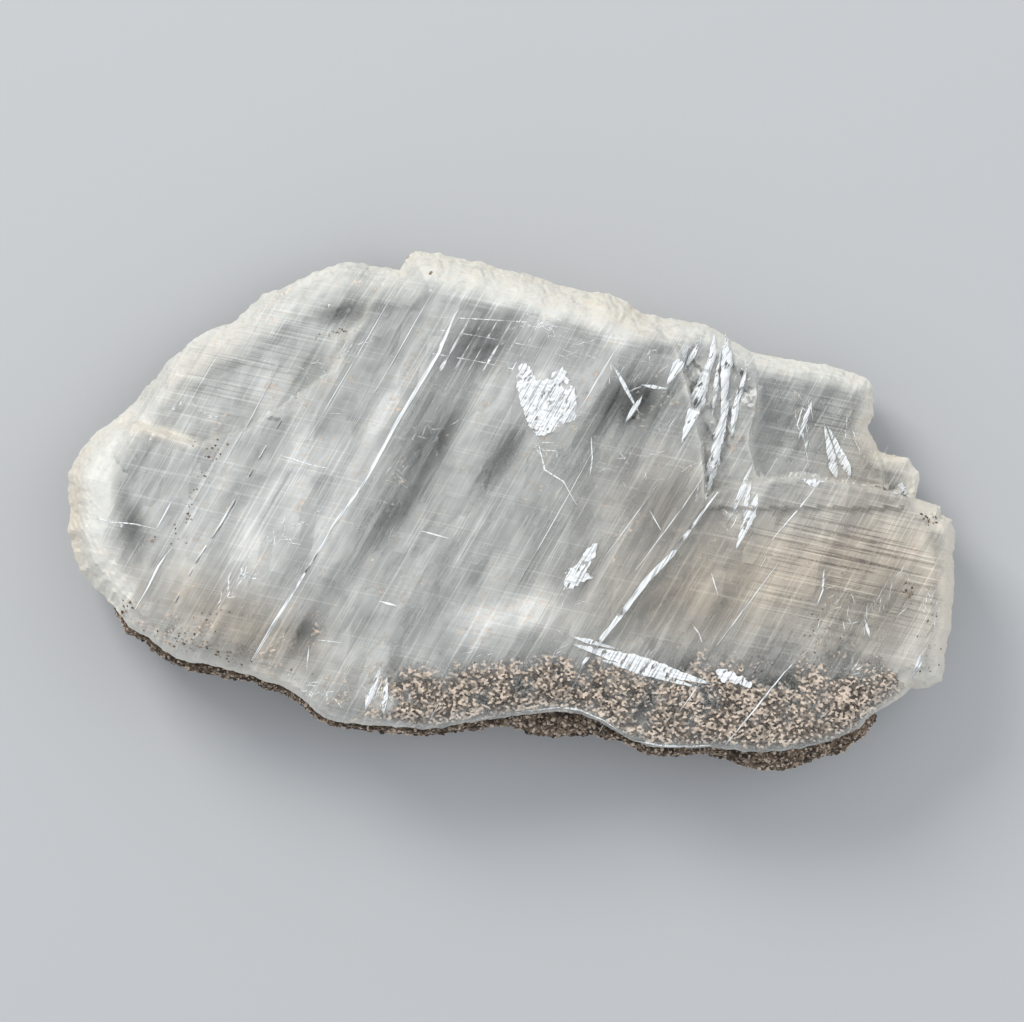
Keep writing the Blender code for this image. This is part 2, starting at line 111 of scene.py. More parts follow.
LEFT_END = Edge(6.5, 10.5, 3.2, 0.62, 9.0, 3.0, 0.9)
UPPER_LEFT = Edge(6.0, 10.0, 2.4, 0.55, 6.0, 3.0, 0.48)
TOP_RIM = Edge(7.5, 13.0, 2.2, 0.45, 6.2, 2.5, 1.0)
UPPER_RIGHT = Edge(6.0, 11.0, 1.6, 0.5, 3.6, 2.5, 0.7)
TAB = Edge(5.0, 10.0, 1.2, 0.5, 2.6, 2.0, 0.7)
RIGHT_END = Edge(7.0, 16.0, 1.5, 0.6, 3.6, 4.0, 0.9)
LOWER_RIGHT = Edge(10.0, 21.0, 0.7, 0.75, 2.2, 14.0, 0.4)
LOWER_MIDDLE = Edge(8.0, 20.0, 0.8, 0.7, 2.4, 8.5, 0.5)
LOWER_LEFT = Edge(7.0, 18.5, 1.0, 0.65, 2.8, 4.5, 0.7)

# The outline clockwise from the lower left corner, one stretch for each kind of edge
BARE_STRETCHES = (
    (
        LEFT_END,
        (
            (-62.6, -13.7), (-65.1, -11.5), (-66.8, -9.7), (-68.0, -6.4), (-69.0, -2.9),
            (-68.5, -0.2), (-69.0, 3.2), (-68.8, 6.1), (-67.7, 8.4), (-65.6, 11.4), (-63.9, 12.9),
        ),
    ),
    (
        UPPER_LEFT,
        (
            (-61.5, 14.5), (-58.3, 17.4), (-56.9, 19.5), (-55.0, 21.0), (-53.9, 23.0),
            (-49.4, 26.9), (-46.5, 28.6), (-43.4, 29.5), (-40.8, 31.7), (-38.8, 33.9),
            (-34.4, 35.4), (-30.8, 37.3), (-27.3, 38.5), (-25.3, 39.1), (-21.4, 38.5),
            (-17.2, 37.7),
        ),
    ),
    (
        TOP_RIM,
        (
            (-16.1, 39.8), (-14.7, 40.5), (-10.8, 40.2), (-7.9, 39.4), (-3.7, 38.7), (-0.9, 37.6),
            (2.6, 37.1), (5.1, 36.3), (7.3, 35.3), (12.2, 34.3), (15.5, 33.9), (18.3, 32.6),
            (20.6, 30.9),
        ),
    ),
    (
        UPPER_RIGHT,
        (
            (25.6, 30.1), (30.2, 29.2), (32.4, 28.3), (34.4, 26.9), (37.0, 25.3), (39.8, 24.4),
            (44.8, 23.6), (49.1, 23.0), (53.0, 21.9), (55.5, 20.8), (56.6, 19.5), (56.6, 14.8),
            (55.8, 12.9),
        ),
    ),
    (TAB, ((57.7, 9.4), (60.1, 8.9), (62.2, 8.4), (63.7, 6.3), (63.9, 4.9), (63.2, 2.2))),
    (
        RIGHT_END,
        (
            (66.8, 0.9), (66.8, -0.4), (68.5, -1.3), (69.0, -4.0), (68.7, -6.4), (68.8, -8.6),
            (68.7, -12.9), (68.2, -18.7), (67.3, -22.1), (67.3, -24.6), (66.8, -26.4),
            (64.8, -27.4), (62.2, -27.5), (59.1, -29.7),
        ),
    ),
)

# The same for the lower edge, where each point also has the crust's thickness
CRUSTED_STRETCHES = (
    (
        LOWER_RIGHT,
        (
            (56.2, -31.0, 1.2), (53.6, -33.4, 2.0), (50.6, -34.9, 2.5), (46.8, -36.0, 2.2),
            (43.2, -36.8, 3.3), (38.8, -37.1, 3.0), (34.9, -36.9, 2.0), (31.0, -36.3, 1.1),
            (26.4, -36.5, 1.3), (21.4, -36.3, 1.3), (17.5, -34.8, 0.9),
        ),
    ),
    (
        LOWER_MIDDLE,
        (
            (14.3, -32.7, 2.2), (10.8, -31.3, 3.6), (7.3, -30.9, 3.9), (2.6, -31.3, 3.2),
            (0.0, -31.7, 1.5), (-3.4, -32.2, 1.3), (-7.8, -32.8, 1.1), (-10.5, -33.4, 1.1),
            (-13.0, -33.6, 1.1), (-17.1, -33.3, 1.1), (-22.2, -33.0, 1.0), (-27.0, -32.4, 1.0),
            (-29.6, -31.2, 1.0), (-30.8, -30.0, 1.1),
        ),
    ),
    (
        LOWER_LEFT,
        (
            (-33.0, -28.2, 1.2), (-35.3, -26.9, 1.1), (-37.5, -26.4, 1.1), (-40.0, -25.4, 1.2),
            (-43.1, -24.6, 1.4), (-46.5, -23.7, 1.5), (-49.9, -23.3, 1.3), (-52.4, -22.2, 1.2),
            (-54.2, -21.0, 1.2), (-55.8, -19.5, 1.2), (-58.6, -18.0, 1.2), (-60.0, -16.2, 0.9),
            (-61.2, -14.8, 0.6),
        ),
    ),
)

# The steps between plates, each from rim to rim
LEFT_STEP = (
    (-16.7, 38.7), (-18.9, 35.4), (-21.1, 32.5), (-22.3, 29.8), (-24.3, 27.4), (-25.7, 24.7),
    (-27.0, 21.8), (-33.5, 17.2), (-40.3, 12.6), (-48.4, 10.3), (-58.1, 14.0), (-63.9, 12.5),
)
RIGHT_STEP = (
    (20.5, 31.1), (21.9, 29.1), (23.7, 26.7), (25.6, 25.8), (27.6, 18.0), (29.4, 11.1),
    (30.2, 2.6), (34.0, 4.0), (38.8, 4.9), (45.4, 5.2), (57.4, 3.3), (63.2, 2.2), (66.8, 0.9),
)
SHATTERED_STEP = ((34.4, 26.9), (37.5, 24.3), (38.3, 17.3), (36.9, 11.1), (38.3, 5.2))
TAB_STEP = ((55.8, 12.9), (57.4, 8.6), (58.0, 3.3))
LEFT_STRIP_STEP = (
    (-34.9, 14.2), (-39.5, 6.3), (-44.3, -1.9), (-48.0, -7.5), (-51.9, -15.1), (-55.2, -19.4),
)
RIGHT_STRIP_STEP = (
    (29.9, 0.5), (25.0, -6.3), (20.3, -11.7), (17.1, -15.6), (14.4, -19.0), (11.2, -23.2),
    (7.9, -29.7),
)
BACK_STEP = ((12.0, -36.0), (22.0, -16.0), (27.0, -12.0), (39.0, 10.0), (46.0, 26.0))

# Points well outside the outline that close each step line into the area of its plate
ABOVE_LEFT = ((-90.0, 12.5), (-90.0, 60.0), (-16.7, 60.0))
ABOVE_RIGHT = ((90.0, 0.9), (90.0, 60.0), (20.5, 60.0))
BEYOND_LEDGE = (
    (45.4, 5.2), (57.4, 3.3), (63.2, 2.2), (66.8, 0.9), (90.0, 0.9), (90.0, 60.0), (34.4, 60.0),
)
BESIDE_TAB = ((90.0, 3.3), (90.0, 12.9))
BEYOND_LEFT_STRIP = ((-55.2, -60.0), (-90.0, -60.0), (-90.0, 14.2))
BEYOND_RIGHT_STRIP = ((7.9, -60.0), (90.0, -60.0), (90.0, 0.5))
BEYOND_BACK_STEP = ((90.0, 26.0), (90.0, -60.0), (12.0, -60.0))


# Small helpers for points and relief


def rows(points: Iterable[Sequence[float]]) -> np.ndarray:
    """The points as an array with one row each."""
    return np.array([tuple(point) for point in points], float)


def wobble(points: np.ndarray, grain: float, layer: float) -> np.ndarray:
    """Smooth unevenness between about -1 and 1.

    Args:
        points: places as rows of x and y, in millimetres.
        grain: size of its features, in millimetres.
        layer: chooses one of many patterns.

    Returns:
        One value for each point.
    """
    return np.array([noise.noise(Vector((x / grain, y / grain, layer))) for x, y in points])


def streaks(points: np.ndarray, angle: float, length: float, width: float, layer: float) -> np.ndarray:
    """Unevenness drawn out along one direction.

    Args:
        points: places as rows of x and y, in millimetres.
        angle: direction of the streaks, in degrees from +X.
        length: length of a streak.
        width: width of a streak.
        layer: chooses one of many patterns.

    Returns:
        One value between about -1 and 1 for each point.
    """
    c, s = math.cos(math.radians(angle)), math.sin(math.radians(angle))
    along = (points @ (c, s)) / length
    across = (points @ (-s, c)) / width
    return np.array([noise.noise(Vector((a, b, layer))) for a, b in zip(along, across)])


def ledged(heights: np.ndarray, lamina: float, tread: float) -> np.ndarray:
    """Heights drawn towards evenly spaced ledges.

    Args:
        heights: the smooth heights.
        lamina: height from one ledge to the next.
        tread: the share of each ledge that is level.

    Returns:
        The stepped heights.
    """
    step = np.floor(heights / lamina)
    part = heights / lamina - step
    return lamina * (step + np.clip((part - tread / 2) / (1 - tread), 0, 1))


def facets(points: np.ndarray, grain: float, tilt: float, layer: float) -> np.ndarray:
    """Heights of small flat facets that lean different ways, as on shattered crystal.

    Args:
        points: places as rows of x and y, in millimetres.
        grain: size of a facet.
        tilt: the steepest slope of a facet.
        layer: chooses one of many patterns.

    Returns:
        One height for each point, in millimetres.
    """
    heights = []
    for x, y in points:
        _, cells = noise.voronoi(Vector((x / grain, y / grain, layer)))
        cell = cells[0]
        lean = noise.noise_vector(cell * 7.3)
        heights.append(
            tilt * (lean.x * (x - cell.x * grain) + lean.y * (y - cell.y * grain))
            + tilt * grain * 0.5 * lean.z
        )
    return np.array(heights)


def turned_rows(points: np.ndarray, angle: float) -> np.ndarray:
    """Rows of x and y turned by an angle in degrees, anticlockwise."""
    c, s = math.cos(math.radians(angle)), math.sin(math.radians(angle))
    return points @ np.array([[c, s], [-s, c]])


def inside(area: Line, points: np.ndarray) -> np.ndarray:
    """Which of the points are inside the closed polygon."""
    x, y = points[:, 0], points[:, 1]
    odd = np.zeros(len(points), bool)
    for (ax, ay), (bx, by) in zip(area, tuple(area[1:]) + (area[0],)):
        if ay == by:
            continue
        crosses = ((ay > y) != (by > y)) & (x < ax + (y - ay) * (bx - ax) / (by - ay))
        odd ^= crosses
    return odd


def refined(points: Line, spacing: float) -> list[Point]:
    """The open line through points, with further points at most spacing apart."""
    line: list[Point] = []
    for (ax, ay), (bx, by) in zip(points, points[1:]):
        count = max(1, math.ceil(math.hypot(bx - ax, by - ay) / spacing))
        line += [(ax + (bx - ax) * i / count, ay + (by - ay) * i / count) for i in range(count)]
    return line + [tuple(points[-1])]


def side_vectors(line: np.ndarray, closed: bool) -> np.ndarray:
    """The unit vector to the left of a line at each of its points.

    Args:
        line: the line's points as rows.
        closed: whether the last point is joined to the first.

    Returns:
        One row for each point.
    """
    before, after = np.roll(line, 1, axis=0), np.roll(line, -1, axis=0)
    if not closed:
        before[0], after[-1] = line[0], line[-1]
    way = after - before
    way /= np.maximum(np.hypot(*way.T), 1e-9)[:, None]
    return np.stack([-way[:, 1], way[:, 0]], axis=1)


def lattice(area: Line, spacing: float) -> np.ndarray:
    """Points along the two cleavage directions inside the polygon.

    Args:
        area: the polygon.
        spacing: distance between points along each direction.

    Returns:
        The points as rows.
    """
    ways = [(math.cos(math.radians(d)), math.sin(math.radians(d))) for d in (CLEAVAGE, CROSS_CLEAVAGE)]
    middle = rows(area).mean(axis=0)
    reach = math.ceil(1.3 * np.hypot(*(rows(area) - middle).T).max() / spacing)
    count = np.arange(-reach, reach + 1) * spacing
    i, j = np.meshgrid(count, count)
    points = middle + i.reshape(-1, 1) * np.array(ways[0]) + j.reshape(-1, 1) * np.array(ways[1])
    return points[inside(area, points)]


def triangles_over(
    outline: Line, lines: Sequence[Line], points: np.ndarray
) -> tuple[np.ndarray, list[list[int]]]:
    """Triangles over an outline that keep the lines as edges.

    Args:
        outline: the closed outline, whose own points come first in the result.
        lines: lines that the triangles' edges follow.
        points: further points.

    Returns:
        The points as rows, and the triangles as triples of their numbers.
    """
    flat = [Vector(p) for p in outline]
    count = len(flat)
    edges: list[tuple[int, int]] = []
    for line in lines:
        first = len(flat)
        flat += [Vector(p) for p in line]
        edges += [(first + i, first + i + 1) for i in range(len(line) - 1)]
    flat += [Vector(p) for p in points]
    found, _, faces, origins, _, _ = delaunay_2d_cdt(flat, edges, [list(range(count))], 1, 1e-5)
    order = {old: new for new, olds in enumerate(origins) for old in olds}
    place = {order[i]: i for i in range(count)}
    kept = [tuple(p) for p in outline]
    for new, point in enumerate(found):
        if new not in place:
            place[new] = len(kept)
            kept.append(tuple(point))
    return rows(kept), [[place[i] for i in face] for face in faces]


def far_from(lines: Sequence[Line], points: np.ndarray, gap: float) -> np.ndarray:
    """The points that are at least gap away from every point of the lines."""
    kept = np.ones(len(points), bool)
    for x, y in (p for line in lines for p in line):
        kept &= np.hypot(points[:, 0] - x, points[:, 1] - y) > gap
    return points[kept]


Heights = Callable[[np.ndarray], np.ndarray]


@dataclass
class Solid:
    """A closed mesh in the making, in millimetres."""

    vertices: list[tuple[float, float, float]] = field(default_factory=list)
    faces: list[list[int]] = field(default_factory=list)

    def add(self, vertices: Iterable[Sequence[float]], faces: Iterable[Sequence[int]]) -> int:
        """Adds vertices and faces that count from the first of them, and returns its number."""
        first = len(self.vertices)
        self.vertices += [tuple(v) for v in vertices]
        self.faces += [[first + i for i in face] for face in faces]
        return first

    def plate(
        self, outline: Line, lines: Sequence[Line], points: np.ndarray, top: Heights, under: Heights
    ) -> int:
        """Adds a closed plate between two heights over an outline.

        Args:
            outline: the plate's outline, clockwise.
            lines: lines that the upper face's edges follow.
            points: points inside the outline.
            top: height of the upper face at each point.
            under: height of the lower face at each point.

        Returns:
            The number of the plate's first vertex.
        """
        flat, faces = triangles_over(outline, lines, points)
        count = len(outline)
        first = self.add(np.column_stack([flat, top(flat)]), faces)
        base = self.add(np.column_stack([flat, under(flat)]), [face[::-1] for face in faces])
        for i in range(count):
            then = (i + 1) % count
            self.faces.append([first + i, first + then, base + then, base + i])
        return first

    def ribbon(self, line: Line, widths: Sequence[float], top: np.ndarray, depth: float, lean: float) -> int:
        """Adds a thin blade that stands on its edge along a line.

        Args:
            line: the blade's path, seen from above.
            widths: its thickness at each point.
            top: height of its upper edge at each point.
            depth: its height from the upper to the lower edge.
            lean: how far the lower edge lies to the left of the upper one.

        Returns:
            The number of the blade's first vertex.
        """
        path = rows(line)
        sides = side_vectors(path, closed=False)
        half = np.array(widths)[:, None] / 2
        upper = np.asarray(top)
        lower_path = path + sides * lean
        corners = [
            np.column_stack([path - sides * half, upper]),
            np.column_stack([path + sides * half, upper]),
            np.column_stack([lower_path + sides * half * 0.4, upper - depth]),
            np.column_stack([lower_path - sides * half * 0.4, upper - depth]),
        ]
        vertices = np.stack(corners, axis=1).reshape(-1, 3)
        faces = []
        for i in range(len(path) - 1):
            for j in range(4):
                a, b = 4 * i + j, 4 * i + (j + 1) % 4
                faces.append([a, b, b + 4, a + 4])
        last = 4 * (len(path) - 1)
        faces.append([3, 2, 1, 0])
        faces.append([last, last + 1, last + 2, last + 3])
        return self.add(vertices, faces)

    def finished(self, name: str, material: bpy.types.Material, smooth: bool = False) -> bpy.types.Object:
        """The object made of this mesh, in metres, with its faces pointing out.

        Args:
            name: the object's name.
            material: its only material.
            smooth: whether its faces are shaded as one round surface.

        Returns:
            The object, linked to the scene.
        """
        mesh = bpy.data.meshes.new(name)
        mesh.from_pydata([tuple(c * MM for c in v) for v in self.vertices], [], self.faces)
        mesh.materials.append(material)
        if smooth:
            mesh.shade_smooth()
        obj = bpy.data.objects.new(name, mesh)
        bpy.context.scene.collection.objects.link(obj)
        return obj


def set_attribute(obj: bpy.types.Object, name: str, values: np.ndarray) -> None:
    """Writes one number for each of the mesh's points under a name that materials read."""
    attribute = obj.data.attributes.new(name, "FLOAT", "POINT")
    attribute.data.foreach_set("value", np.asarray(values, np.float32))


# Nodes as Python expressions


class Value:
    """An output socket that takes part in arithmetic, each operation adding its Math node."""

    def __init__(self, tree: "Nodes", socket: bpy.types.NodeSocket) -> None:
        """Wraps a socket of the tree."""
        self.tree = tree
        self.socket = socket

    def _math(self, operation: str, *values: Any) -> "Value":
        """The result of one Math node."""
        return self.tree.node("ShaderNodeMath", {"operation": operation}, dict(enumerate(values)))

    def __add__(self, other: Any) -> "Value":
        """The sum."""
        return self._math("ADD", self, other)

    def __sub__(self, other: Any) -> "Value":
        """The difference."""
        return self._math("SUBTRACT", self, other)

    def __rsub__(self, other: Any) -> "Value":
        """The difference, with this value taken away."""
        return self._math("SUBTRACT", other, self)

    def __mul__(self, other: Any) -> "Value":
        """The product."""
        return self._math("MULTIPLY", self, other)

    def __truediv__(self, other: Any) -> "Value":
        """The quotient."""
        return self._math("DIVIDE", self, other)

    def __rtruediv__(self, other: Any) -> "Value":
        """The quotient, with this value below the line."""
        return self._math("DIVIDE", other, self)

    def __pow__(self, other: Any) -> "Value":
        """The power."""
        return self._math("POWER", self, other)

    __radd__ = __add__
    __rmul__ = __mul__

    def most(self, other: Any) -> "Value":
        """The larger of the two."""
        return self._math("MAXIMUM", self, other)

    def least(self, other: Any) -> "Value":
        """The smaller of the two."""
        return self._math("MINIMUM", self, other)

    def clamped(self) -> "Value":
        """The value kept between 0 and 1."""
        return self.most(0.0).least(1.0)

    def between(self, low: float, high: float) -> "Value":
        """A smooth rise from 0 at low to 1 at high."""
        return self.tree.node(
            "ShaderNodeMapRange",
            {"interpolation_type": "SMOOTHSTEP"},
            {"Value": self, "From Min": low, "From Max": high},
        )


class Nodes:
    """A node tree that is built with one method."""

    def __init__(self, tree: bpy.types.NodeTree) -> None:
        """Wraps an empty node tree."""
        self.tree = tree

    def node(
        self, kind: str, settings: dict[str, Any] | None = None, inputs: dict[Any, Any] | None = None,
        output: int | str = 0,
    ) -> Value:
        """Adds a node.

        Args:
            kind: the node's type.
            settings: its own properties, which are set first.
            inputs: values or outputs for its sockets, by name, identifier or number.
            output: the output that is returned, by name or number.

        Returns:
            That output.
        """
        made = self.tree.nodes.new(kind)
        for key, setting in (settings or {}).items():
            setattr(made, key, setting)
        for key, value in (inputs or {}).items():
            socket = self._socket(made.inputs, key)
            if isinstance(value, Value):
                self.tree.links.new(value.socket, socket)
            else:
                socket.default_value = value
        return Value(self, self._socket(made.outputs, output))

    @staticmethod
    def _socket(sockets: Any, key: int | str) -> bpy.types.NodeSocket:
        """The socket of that number, identifier or name."""
        if isinstance(key, int):
            return sockets[key]
        return next((s for s in sockets if s.identifier == key), None) or sockets[key]


Colour = tuple[float, float, float]


class Shader(Nodes):
    """The node tree of one material."""

    def __init__(self, name: str) -> None:
        """Makes a material with an empty tree."""
        self.material = bpy.data.materials.new(name)
        self.material.use_nodes = True
        super().__init__(self.material.node_tree)
        self.tree.nodes.clear()
        self.place = self.node("ShaderNodeTexCoord", output="Object")

    def stretched(self, angle: float, sizes: Colour) -> Value:
        """Object coordinates turned by an angle and measured in the given sizes.

        Args:
            angle: direction of the first axis, in degrees from +X.
            sizes: the length of one unit along each axis, in millimetres.

        Returns:
            The coordinates.
        """
        return self.node(
            "ShaderNodeMapping",
            {"vector_type": "TEXTURE"},
            {
                "Vector": self.place,
                "Rotation": (0.0, 0.0, math.radians(angle)),
                "Scale": tuple(size * MM for size in sizes),
            },
        )

    def noise(self, vector: Value, detail: float = 2.0, rough: float = 0.5, scale: float = 1.0) -> Value:
        """A noise between 0 and 1 over the given coordinates."""
        return self.node(
            "ShaderNodeTexNoise",
            {},
            {"Vector": vector, "Scale": scale, "Detail": detail, "Roughness": rough},
        )

    def fibres(self, angle: float, length: float, width: float, detail: float = 3.0) -> Value:
        """A noise drawn out along one direction, its sizes in millimetres."""
        return self.noise(self.stretched(angle, (length, width, 9.0)), detail, 0.6)

    def blocks(self, across: float, along: float, level: float = 0.0) -> Value:
        """A random value for each of many blocks that the two cleavages bound.

        Args:
            across: the blocks' usual size across the main cleavage, in millimetres.
            along: the same across the cross cleavage.
            level: chooses one of many patterns.

        Returns:
            A value between 0 and 1.
        """
        parts = []
        shift = level * 7.3
        for angle, size in ((CLEAVAGE, across), (CROSS_CLEAVAGE, along)):
            way = (-math.sin(math.radians(angle)), math.cos(math.radians(angle)), 0.0)
            dot = self.node(
                "ShaderNodeVectorMath", {"operation": "DOT_PRODUCT"}, {0: self.place, 1: way}, "Value"
            )
            parts.append(dot / (size * MM) + shift)
        grid = self.node("ShaderNodeCombineXYZ", {}, {0: parts[0], 1: parts[1]})
        cells = self.node(
            "ShaderNodeTexVoronoi", {"distance": "CHEBYCHEV", "voronoi_dimensions": "2D"},
            {"Vector": grid, "Scale": 1.0, "Randomness": 0.75}, "Color",
        )
        return self.node("ShaderNodeSeparateColor", {}, {"Color": cells})

    def attribute(self, name: str) -> Value:
        """A number that the mesh carries at each point."""
        return self.node("ShaderNodeAttribute", {"attribute_name": name}, output="Fac")

    def colour(self, factor: Any, first: Any, second: Any) -> Value:
        """A colour between two others."""
        inputs = {"Factor_Float": factor, "A_Color": self._rgba(first), "B_Color": self._rgba(second)}
        return self.node("ShaderNodeMix", {"data_type": "RGBA"}, inputs, "Result_Color")

    @staticmethod
    def _rgba(colour: Any) -> Any:
        """A plain colour with its alpha, or the output as it is."""
        return colour if isinstance(colour, Value) else (*colour, 1.0)

    def bump(self, height: Value, distance: float, strength: float = 1.0) -> Value:
        """The normal that a height pattern gives, its distance in millimetres."""
        inputs = {"Height": height, "Distance": distance * MM, "Strength": strength}
        return self.node("ShaderNodeBump", {}, inputs)

    def principled(self, **inputs: Any) -> Value:
        """A Principled shader; an underscore in a name stands for a space."""
        named = {key.replace("_", " "): value for key, value in inputs.items()}
        colour = named.get("Base Color")
        if colour is not None:
            named["Base Color"] = self._rgba(colour)
        return self.node("ShaderNodeBsdfPrincipled", {}, named)

    def mixed(self, factor: Any, first: Value, second: Value) -> Value:
        """One shader passing over into another."""
        return self.node("ShaderNodeMixShader", {}, {0: factor, 1: first, 2: second})

    def done(self, surface: Value, volume: Value | None = None) -> bpy.types.Material:
        """Joins the shaders to the material's output and returns the material."""
        inputs = {"Surface": surface}
        if volume is not None:
            inputs["Volume"] = volume
        self.tree.nodes.new("ShaderNodeOutputMaterial")
        output = self.tree.nodes[-1]
        for key, value in inputs.items():
            self.tree.links.new(value.socket, output.inputs[key])
        return self.material


# The finishes


@dataclass(frozen=True)
class ClearGypsum:
    """See-through crystal whose surface passes over into frosted white.

    The mesh carries "frost" for broken faces, "milk" for hazy places and a painted reflection at the
    left end, "warm" for iron stain and "side" for places where the second cleavage shows.
    """

    tint: Colour = (0.945, 0.95, 0.935)
    absorbed: Colour = (0.80, 0.815, 0.79)
    density: float = 34.0
    ior: float = 1.52
    white: Colour = (0.685, 0.665, 0.59)
    haze: Colour = (0.74, 0.75, 0.72)
    stain: Colour = (0.62, 0.50, 0.32)
    beige: Colour = (0.71, 0.625, 0.505)
    shadow: Colour = (0.36, 0.36, 0.31)
    dark_grain: Colour = (0.07, 0.052, 0.038)
    pale_grain: Colour = (0.84, 0.69, 0.55)

    @staticmethod
    def sand(s: Shader) -> Value:
        """A random tone for each of many grains, as they show through the crystal."""
        grains = s.node(
            "ShaderNodeTexVoronoi", {"voronoi_dimensions": "2D"},
            {"Vector": s.stretched(0.0, (0.38, 0.34, 0.4)), "Scale": 1.0}, "Color",
        )
        return s.node("ShaderNodeSeparateColor", {}, {"Color": grains})

    def material(self) -> bpy.types.Material:
        """Builds the material."""
        s = Shader("clear_gypsum")
        frost, milk, warm, side = (s.attribute(name) for name in ("frost", "milk", "warm", "side"))
        thin = s.fibres(CLEAVAGE, 30.0, 0.42, 2.0)
        hair = s.fibres(CLEAVAGE + 1.0, 15.0, 0.14, 1.0)
        cross = s.fibres(CROSS_CLEAVAGE, 15.0, 0.30, 1.0)
        patch = s.noise(s.stretched(CLEAVAGE, (9.0, 5.5, 9.0)), 2.0, 0.65)
        lump = s.noise(s.stretched(20.0, (2.4, 1.6, 1.6)), 2.0, 0.8)
        cell = s.blocks(2.6, 8.0)
        strip = s.blocks(1.1, 26.0, 5.0)
        window = s.blocks(5.5, 15.0, 9.0)
        milky = (milk + (cell - 0.5) * 0.20 + (strip - 0.5) * 0.16).clamped()
        cloudy = milky * (0.51 + 0.16 * window + 0.32 * patch.between(0.36, 0.66))
        lines = (
            thin.between(0.59, 0.68) * 0.28
            + hair.between(0.62, 0.70) * 0.36
            + cross.between(0.60, 0.70) * (0.18 + 0.4 * side)
        )
        slits = cross.between(0.45, 0.38) * side * 0.65
        hazy = (cloudy + lines * (0.18 + 0.60 * milk)) * (1.0 - slits)
        broken = frost * (0.72 + 0.55 * lump)
        sand = self.sand(s) * 0.8 + lump * 0.7 - 0.25
        grit = (s.attribute("grit") + patch * 1.2 + lump * 0.8 + sand * 0.6 - 1.3).between(0.10, 0.75)
        gritty = grit * (0.34 + 0.46 * sand.between(0.15, 0.9))
        factor = (hazy.most(gritty) + broken).clamped() * 0.97
        base = s.colour(frost.clamped(), self.haze, self.white)
        base = s.colour(lump.between(0.52, 0.68) * frost.clamped() * 0.4, base, self.stain)
        base = s.colour((warm * (0.7 + 0.5 * patch)).clamped(), base, self.beige)
        base = s.colour((lump.between(0.48, 0.34) * frost).clamped() * 0.35, base, self.shadow)
        grains = s.colour(sand.between(0.10, 1.0) ** 1.6, self.dark_grain, self.pale_grain)
        base = s.colour(grit * (1.0 - frost).clamped(), base, grains)
        normal = s.bump(lump * frost, 0.3)
        glass = s.principled(
            Base_Color=self.tint,
            Roughness=0.008 + 0.05 * thin.between(0.55, 0.8),
            IOR=self.ior,
            Transmission_Weight=1.0,
        )
        dull = s.principled(Base_Color=base, Roughness=0.55, IOR=self.ior, Normal=normal)
        volume = s.node(
            "ShaderNodeVolumeAbsorption", {}, {"Color": (*self.absorbed, 1.0), "Density": self.density}
        )
        return s.done(s.mixed(factor, glass, dull), volume)


@dataclass(frozen=True)
class MilkyVeil:
    """A thin cleavage plane inside the crystal, seen as broken white blocks and streaks."""

    white: Colour = (0.90, 0.93, 0.91)
    beige: Colour = (0.86, 0.70, 0.54)
    cover: float = 0.66

    def material(self) -> bpy.types.Material:
        """Builds the material."""
        s = Shader("milky_veil")
        milk = s.attribute("milk")
        level = s.attribute("level")
        streak = s.fibres(CLEAVAGE, 34.0, 0.8, 1.0)
        shred = s.noise(s.stretched(CLEAVAGE, (9.0, 3.4, 2.0)), 1.0, 0.65)
        cell = s.blocks(3.6, 8.0, level)
        shown = streak.between(0.50, 0.60) * shred.between(0.42, 0.56)
        alpha = (shown * (0.08 + 1.25 * milk) + cell.between(0.45, 0.6) * 0.8 * milk).clamped() * self.cover
        base = s.colour(s.attribute("warm"), self.white, self.beige)
        return s.done(s.principled(Base_Color=base, Roughness=0.6, Alpha=alpha))


@dataclass(frozen=True)
class PearlyWhite:
    """Fresh white fracture with fibres along one direction.

    Args:
        white, shade: the lighter and the darker colour.
        angle: the fibres' direction, in degrees from +X.
        cover: how much of what lies behind it hides.
        tears: how see-through its torn places are.
    """

    white: Colour = (0.87, 0.88, 0.875)
    shade: Colour = (0.66, 0.69, 0.70)
    angle: float = CLEAVAGE
    cover: float = 1.0
    tears: float = 1.0

    def material(self, name: str) -> bpy.types.Material:
        """Builds the material."""
        s = Shader(name)
        fibre = s.noise(s.stretched(self.angle, (5.0, 0.24, 3.0)), 1.0, 0.65)
        base = s.colour(fibre.between(0.36, 0.60), self.shade, self.white)
        normal = s.bump(fibre, 0.08)
        torn = s.noise(s.stretched(self.angle, (2.0, 0.8, 3.0)), 2.0, 0.7).between(0.34, 0.46)
        whole = 1.0 - self.tears * (1.0 - torn)
        alpha = (self.cover * whole * (0.55 + fibre.between(0.3, 0.6))).clamped()
        return s.done(
            s.principled(Base_Color=base, Roughness=0.38 + 0.24 * fibre, Normal=normal, Alpha=alpha)
        )


